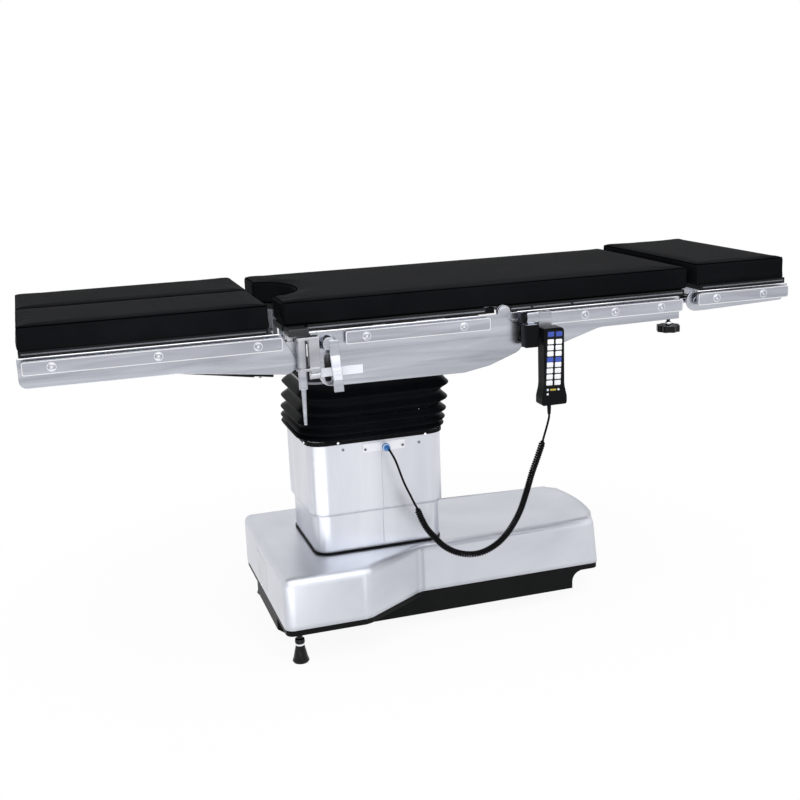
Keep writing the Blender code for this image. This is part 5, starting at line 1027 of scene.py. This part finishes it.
@dataclass
class Fastenings:
    """Rail bolts and rims, panel screws and the folded seams of sleeves and cover."""

    rail_face: float = 0.2930
    bolt_radius: float = 0.0092
    bolt_height: float = 0.0030
    washer_height: float = 0.0008
    screw_radius: float = 0.0038
    screw_height: float = 0.0024
    rim_width: float = 0.0022
    rim_sink: float = 0.0012
    rim_rise: float = 0.0005
    seam_sink: float = 0.0004
    rails: dict[str, tuple[float, ...]] = field(default_factory=lambda: {
        "leg": (-0.940, -0.700, -0.465), "seat": (-0.195, 0.060),
        "back": (0.396, 0.483, 0.619), "head": (0.787, 0.932),
    })
    panels: tuple[tuple[str, str, Finish, tuple[tuple[Look, float, float], ...]], ...] = (
        ("bellows_clamp", "column", BUFFED_STEEL_AND_PAINTED_HIGHLIGHT, (
            (Look.LEFT, -0.2483, 0.5535), (Look.LEFT, -0.0086, 0.5495), (Look.RIGHT, -0.27, 0.5535),
            (Look.RIGHT, 0.0, 0.5535), (Look.FOOT_END, 0.032, 0.5535), (Look.FOOT_END, -0.032, 0.5535),
            (Look.FOOT_END, -0.114, 0.5535), (Look.HEAD_END, 0.08, 0.5535), (Look.HEAD_END, -0.08, 0.5535))),
        ("upper_column_sleeve", "column", MACHINED_STEEL, (
            (Look.LEFT, -0.2349, 0.532), (Look.LEFT, -0.0249, 0.5276))),
        ("connector_socket", "column", MACHINED_STEEL, (
            (Look.LEFT, -0.1750, 0.5262), (Look.LEFT, -0.0720, 0.5268))),
        ("base_cover", "base", BUFFED_STEEL_AND_PAINTED_HIGHLIGHT, ((Look.FOOT_END, 0.037, 0.114),)),
        ("back_frame", "back", BUFFED_STEEL_AND_PAINTED_HIGHLIGHT, ((Look.LEFT, 0.3408, 0.8401),)),
    )
    seams: tuple[Seam, ...] = (
        Seam("upper_column_sleeve", "column", -0.1310, 0.0012, 0.356, 0.545, 0.4505, 0.0004, 0.0003),
        Seam("lower_column_sleeve", "base", -0.1310, 0.0012, 0.252, 0.352, 0.3020, 0.0004, 0.0003),
        Seam("base_cover", "base", -0.0260, 0.0008, 0.107, 0.222, 0.1700, 0.0003, 0.0002),
    )

    def bolt(self, name: str, radius: float, height: float) -> Bench:
        """Models a domed socket bolt that stands on the plane Y = 0 and points to -Y.

        Args:
            name: The piece's name.
            radius: The head's radius.
            height: The head's height.

        Returns:
            The bench with the bolt.
        """
        bench = Bench(name).rod((0, 0.001, 0), (0, -height, 0), radius, 28)
        bench.round_rim(Axis.Y, height * 0.7, 3, end=-1)
        socket = Bench("socket_tool").rod((0, -height * 0.25, 0), (0, -height * 2, 0), radius * 0.42, 6)
        return bench.carve(socket).smooth(30.0)

    def build(self) -> None:
        """Sets every bolt, rim, screw and seam on the surface that holds it."""
        for section, stations in self.rails.items():
            for side, sign in SIDES.items():
                self.rail(section, side, sign, stations)
        for node, body, finish, aims in self.panels:
            self.screws(node, body, finish, aims)
        for seam in self.seams:
            for side, sign in SIDES.items():
                self.seam(seam, side, sign)

    def rail(self, section: str, side: str, sign: int, stations: Sequence[float]) -> None:
        """Bolts one side rail, and lays a polished chamfer rim round its face, whose near-white colour also
        paints the highlight along the rail's edges.

        Args:
            section: The section of the table top.
            side: Its side.
            sign: -1 for the left side, 1 for the right.
            stations: The X of each bolt.
        """
        body = body_of(section, side)
        low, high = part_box(f"{section}_rail_{side}")
        turn = Matrix.Rotation(math.pi if sign > 0 else 0.0, 4, "Z")
        places = [Matrix.Translation((x, sign * self.rail_face, (low[2] + high[2]) / 2)) @ turn
                  for x in stations]
        bolts = self.bolt(f"{section}_rail_bolts_{side}", self.bolt_radius, self.bolt_height)
        bolts.copies(places).done(body, POLISHED_STEEL)
        washers = Bench(f"{section}_rail_washers_{side}").rod((0, 0.0002, 0), (0, -self.washer_height, 0),
                                                              self.bolt_radius * 1.18, 28)
        washers.copies(places).done(body, BUFFED_STEEL_AND_PAINTED_HIGHLIGHT)
        # The rim is partly a polished chamfer and partly a painted highlight: its near-white finish draws
        # the bright line along the rail's edges
        rim = self.rim_block(f"{section}_rail_rim_{side}", sign, low, high, 0.0002, 0.0, 0.0045)
        core = self.rim_block("rim_tool", sign, low, high, self.rim_width, 0.01, 0.0035)
        rim.carve(core).smooth().done(body, BUFFED_STEEL_AND_PAINTED_HIGHLIGHT)

    def rim_block(self, name: str, sign: int, low: Sequence[float], high: Sequence[float], inset: float,
                  longer: float, corner: float) -> Bench:
        """Models a block on the face of a rail: the rim's outside, or what its opening takes away.

        Args:
            name: The piece's name.
            sign: -1 for the left side, 1 for the right.
            low: The rail's lowest corner.
            high: Its highest corner.
            inset: How far inside the rail's outline the block ends.
            longer: How much further than the rim it reaches inwards and outwards.
            corner: The radius of its corners.

        Returns:
            The bench with the block.
        """
        inner = (low[0] + inset, self.rail_face - self.rim_sink - longer, low[2] + inset)
        outer = (high[0] - inset, self.rail_face + self.rim_rise + longer, high[2] - inset)
        return Bench(name).block(*on_side(sign, inner, outer)).round_along(Axis.Y, corner, 4)

    def screws(self, node: str, body: str, finish: Finish,
               aims: Sequence[tuple[Look, float, float]]) -> None:
        """Sets small screws where level lines from outside meet a CAD node.

        Args:
            node: The CAD node that holds them.
            body: The body that they ride on.
            finish: Their finish.
            aims: The side that each faces, its place across that side and its height.
        """
        places = []
        for look, across, height in aims:
            x, y, _ = look.value
            turn = Matrix.Rotation(math.atan2(-x, y), 4, "Z")
            places.append(Matrix.Translation(surface(node, look.start(across, height), look.value)) @ turn)
        self.bolt(f"{node}_screws", self.screw_radius, self.screw_height).copies(places).done(body, finish)

    def seam(self, seam: Seam, side: str, sign: int) -> None:
        """Lays one seam on one side."""
        out = abs(surface(seam.node, (seam.x, sign, seam.level), (0, -sign, 0)).y)
        low = (seam.x - seam.half_width, out - self.seam_sink, seam.foot)
        high = (seam.x + seam.half_width, out + seam.rise, seam.head)
        strip = Bench(f"{seam.node}_seam_{side}").block(*on_side(sign, low, high))
        strip.round_along(Axis.Z, seam.edge, 2).done(seam.body, SLEEVE_STEEL)


@dataclass
class Trims:
    """Plate edges (near-white beads that paint the highlight along the plate tops), board cores, caps,
    collars, seals and gas springs, and the rings and bare plates.
    """

    bead_radius: float = 0.0017
    core_height: float = 0.0034
    core_sink: float = 0.0008
    core_rise: float = 0.0005
    spring_radius: float = 0.0080
    piston_radius: float = 0.0055
    collar_radius: float = 0.0088
    # A rounded bead on a plate's top edge, near-white to paint the highlight there: its section, both ends
    # in X, how far out it lies and how high
    plate_edge_painted_highlights: tuple[tuple[str, float, float, float, float], ...] = (
        ("leg", -1.013, -0.406, 0.2685, 0.8752), ("seat", -0.352, 0.150, 0.2778, 0.8752),
        ("back", 0.215, 0.682, 0.2685, 0.8752), ("head", 0.742, 1.021, 0.2685, 0.8838),
    )
    # Where a board's core shows: its section, and both ends in X of each stretch
    board_cores: tuple[tuple[str, tuple[tuple[float, float], ...]], ...] = (
        ("leg", ((-1.004, -0.438),)), ("seat", ((-0.366, 0.128),)),
        ("back", ((0.202, 0.2565), (0.2635, 0.3700), (0.3770, 0.700))), ("head", ((0.763, 1.014),)),
    )
    # Given for the right side and mirrored
    knuckle_cap: Corners = ((-0.3901, 0.2394, 0.8710), (-0.3402, 0.2976, 0.8894))
    knob_collar: Corners = ((0.668, 0.246, 0.7968), (0.668, 0.246, 0.8050))
    end_seal: Corners = ((0.1332, 0.2450, 0.8762), (0.1562, 0.2615, 0.8902))
    spring_tube: Corners = ((-0.650, 0.2460, 0.8070), (-0.470, 0.2460, 0.7790))
    spring_piston: Corners = ((-0.474, 0.2460, 0.7796), (-0.424, 0.2460, 0.7722))
    # On the left side and the foot end alone
    connector: Point = (-0.1235, -0.1735, 0.5315)
    seat_label: Corners = ((-0.3115, -0.2794, 0.7615), (-0.2050, -0.2788, 0.7835))

    def build(self) -> None:
        """Makes the trims of both sides, and then those that are there once."""
        for side, sign in SIDES.items():
            for section, start, end, out, z in self.plate_edge_painted_highlights:
                # The bead's near-white finish is a painted highlight along the plate's top edge
                edge = Bench(f"{section}_plate_edge_{side}")
                edge.rod((start, sign * out, z), (end, sign * out, z), self.bead_radius, 14)
                edge.round_rim(Axis.X, self.bead_radius * 0.6, 2).smooth(50.0)
                edge.done(body_of(section, side), BUFFED_STEEL_AND_PAINTED_HIGHLIGHT)
            for section, stretches in self.board_cores:
                self.core(section, side, sign, stretches)
            cap = Bench(f"leg_knuckle_cover_{side}").block(*on_side(sign, *self.knuckle_cap))
            cap.round_rim(Axis.Z, 0.0035, 3, end=1).smooth().done(f"leg_knuckle_{side}", KNUCKLE_ENAMEL)
            collar = Bench(f"head_knob_collar_{side}")
            collar.rod(*on_side(sign, *self.knob_collar), self.collar_radius, 30)
            collar.round_rim(Axis.Z, 0.0018, 2).smooth().done(f"head_knob_{side}", BUFFED_STEEL_AND_PAINTED_HIGHLIGHT)
            seal = Bench(f"seat_board_end_seal_{side}").block(*on_side(sign, *self.end_seal))
            seal.round_along(Axis.Z, 0.0025, 3).smooth().done("seat", RUBBER)
            self.spring(side, sign)
        x, y, z = self.connector
        for name, reach, radius, finish in (("connector_collar", 0.0045, 0.0108, BLUE_NYLON),
                                            ("connector_grip_ring", 0.0095, 0.0094, WHITE_NYLON)):
            ring = Bench(name).rod((x, y, z), (x, y - reach, z), radius, 32)
            ring.round_rim(Axis.Y, 0.0008, 2, end=-1).smooth().done("column", finish)
        label = Bench("seat_plate_label_bare").block(*self.seat_label)
        label.round_along(Axis.Y, 0.0012, 2).done("seat", LABEL_FILM)
        face = surface("base_cover", (-1.0, 0.0135, 0.166), (1, 0, 0)).x
        plate = Bench("base_panel_label_bare")
        plate.block((face - 0.0005, -0.050, 0.1250), (face + 0.0003, 0.077, 0.2050))
        plate.round_along(Axis.X, 0.0015, 2).done("base", ANODISED)

    def core(self, section: str, side: str, sign: int, stretches: Sequence[tuple[float, float]]) -> None:
        """Shows the pale core of a laminate board in stretches along its edge.

        Args:
            section: The section of the table top.
            side: The side of the edge.
            sign: -1 for the left side, 1 for the right.
            stretches: Both ends of each stretch in X.
        """
        low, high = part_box(f"leg_board_{side}" if section == "leg" else f"{section}_board")
        out = sign * (high[1] if sign > 0 else low[1])
        foot, head = ((low[2] + high[2] + way * self.core_height) / 2 for way in (-1, 1))
        for count, (start, end) in enumerate(stretches):
            ends = on_side(sign, (start, out - self.core_sink, foot), (end, out + self.core_rise, head))
            piece = Bench(f"{section}_board_core_{side}_{count}").block(*ends)
            piece.round_along(Axis.X, 0.0003, 1).done(body_of(section, side), LAMINATE_CORE)

    def spring(self, side: str, sign: int) -> None:
        """Hangs the gas spring that balances a leg section, inboard of its side plate."""
        tube = Bench(f"leg_gas_spring_{side}")
        tube.rod(*on_side(sign, *self.spring_tube), self.spring_radius, 24)
        tube.round_rim(Axis.X, 0.002, 2).smooth().done(f"leg_{side}", POWDER_COAT)
        piston = Bench(f"leg_gas_spring_piston_{side}")
        piston.rod(*on_side(sign, *self.spring_piston), self.piston_radius, 18)
        piston.smooth().done(f"leg_{side}", POWDER_COAT)


@dataclass
class PendantClamp:
    """What hangs the pendant on the back rail: a black holder, a bright clamp block and a knob."""

    holder: Corners = ((0.2132, -0.3268, 0.7902), (0.2510, -0.2953, 0.8484))
    clamp: Corners = ((0.2250, -0.3100, 0.8490), (0.2612, -0.2936, 0.8775))
    knob: Corners = ((0.2140, -0.3010, 0.8635), (0.2250, -0.3010, 0.8635))
    knob_radius: float = 0.0125

    def build(self) -> None:
        """Makes the three pieces."""
        holder = Bench("pendant_holder_cover").block(*self.holder).round_along(Axis.Z, 0.0030, 3)
        holder.round_rim(Axis.Z, 0.0015, 2, end=-1).smooth().done("pendant", BLACK_ABS)
        clamp = Bench("pendant_rail_clamp").block(*self.clamp).round_along(Axis.Y, 0.0050, 4)
        clamp.round_rim(Axis.Y, 0.0020, 3, end=-1).smooth().done("pendant", POLISHED_STEEL)
        knob = Bench("pendant_clamp_knob").rod(*self.knob, self.knob_radius, 30)
        knob.round_rim(Axis.X, 0.0025, 3).smooth().done("pendant", BLACK_ABS)


@dataclass
class BrakeFeet:
    """Bright neck rings on the brake feet."""

    ring_level: float = 0.0510
    ring_height: float = 0.0125
    ring_rise: float = 0.0012

    def build(self) -> None:
        """Makes a ring for each foot, a little wider than the neck that it goes round."""
        for where in ("head", "left", "right"):
            node = f"brake_foot_{where}"
            low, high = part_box(node)
            x, y = (low[0] + high[0]) / 2, (low[1] + high[1]) / 2
            neck = abs(surface(node, (x - 1.0, y, self.ring_level), (1, 0, 0)).x - x)
            foot, head = (self.ring_level + way * self.ring_height / 2 for way in (-1, 1))
            ring = Bench(f"{node}_ring").rod((x, y, foot), (x, y, head), neck + self.ring_rise, 40)
            ring.round_rim(Axis.Z, 0.003, 3).smooth().done(f"foot_{where}", BUFFED_STEEL_AND_PAINTED_HIGHLIGHT)


# --------------------------------------------------------------------------- hand pendant
@dataclass
class Keypad:
    """The pendant's face: a glossy film, two columns of keys, a charge bar and small lamps."""

    centre_x: float = 0.2866
    middle_z: float = 0.7580
    film_half_width: float = 0.0225
    film_foot: float = 0.6850
    film_head: float = 0.8315
    column_gap: float = 0.0226
    key_width: float = 0.0172
    key_height: float = 0.0126
    lean: float = 0.042
    blue_rows: tuple[float, ...] = (0.8220, 0.7557)
    white_rows: tuple[float, ...] = (0.8025, 0.7869, 0.7713, 0.7426, 0.7269, 0.7112, 0.6954)
    lamp_row: float = 0.6770
    lamps: tuple[tuple[float, float], ...] = ((-0.0150, 0.0), (0.0150, 0.0), (-0.0150, -0.0115))

    def build(self) -> None:
        """Makes the film, the keys and the lamps, all on the body's front face."""
        face = surface("pendant_body", (self.centre_x, -1.0, 0.75), (0, 1, 0)).y
        middle = Vector((self.centre_x, face, self.middle_z))
        lean = (Matrix.Translation(middle) @ Matrix.Rotation(self.lean, 4, "Y")
                @ Matrix.Translation(-middle))

        def at(x: float, z: float) -> Matrix:
            """Returns the place of a piece on the face, from its X beside the middle line and its height."""
            return lean @ Matrix.Translation((self.centre_x + x, face, z))

        film = Bench("pendant_keypad_film")
        film.block((self.centre_x - self.film_half_width, face - 0.0006, self.film_foot),
                   (self.centre_x + self.film_half_width, face + 0.0004, self.film_head))
        film.round_along(Axis.Y, 0.004, 5).copies([lean]).done("pendant", KEYPAD_FILM)
        for name, rows, finish in (("white", self.white_rows, WHITE_KEYS),
                                   ("blue", self.blue_rows, BLUE_KEYS)):
            places = [at(side * self.column_gap / 2, row) for row in rows for side in (-1, 1)]
            self.key(f"pendant_keys_{name}").copies(places).done("pendant", finish)
        lamp = Bench("pendant_lamps").rod((0, 0.0004, 0), (0, -0.0014, 0), 0.0030, 18)
        lamp.round_rim(Axis.Y, 0.0008, 3, end=-1).smooth()
        lamp.copies([at(x, self.lamp_row + z) for x, z in self.lamps]).done("pendant", LAMP_LENS)
        bar = Bench("pendant_charge_bar").block((-0.0085, -0.0010, -0.0024), (0.0085, 0.0004, 0.0024))
        bar.round_along(Axis.Y, 0.0018, 3).copies([at(0.0, self.lamp_row)]).done("pendant", LAMP_AMBER)

    def key(self, name: str) -> Bench:
        """Models one key, proud of the film, with a rounded outline and a soft edge."""
        wide, tall = self.key_width / 2, self.key_height / 2
        key = Bench(name).block((-wide, -0.0020, -tall), (wide, 0.0002, tall))
        return key.round_along(Axis.Y, 0.0020, 3).round_rim(Axis.Y, 0.0007, 2, end=-1).smooth()


# --------------------------------------------------------------------------- the whole table
def dress_nodes() -> None:
    """Gives every CAD node that stays in view its finish."""
    for finish, patterns in NODE_FINISHES.items():
        for pattern in patterns:
            names = [pattern.replace("*", side) for side in SIDES] if "*" in pattern else [pattern]
            for name in names:
                for slot in bpy.data.objects[name].material_slots:
                    slot.material = finish.material()
                log.info("%s gets %s", name, finish.name)


def main() -> None:
    """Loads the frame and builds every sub-assembly."""
    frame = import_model()
    hinges = {joint["name"]: joint for joint in frame["record"]["behaviour"]["joints"]}
    for sub_assembly in (Studio(), CurlyCord(), Upholstery(hinges["back_hinge"]["pos_m"]), Bellows(),
                         Fastenings(), Trims(), PendantClamp(), BrakeFeet(), Keypad()):
        sub_assembly.build()
    dress_nodes()
    bpy.context.view_layer.update()


if __name__ == "__main__":
    logging.basicConfig(level=logging.INFO, format="%(message)s")
    main()
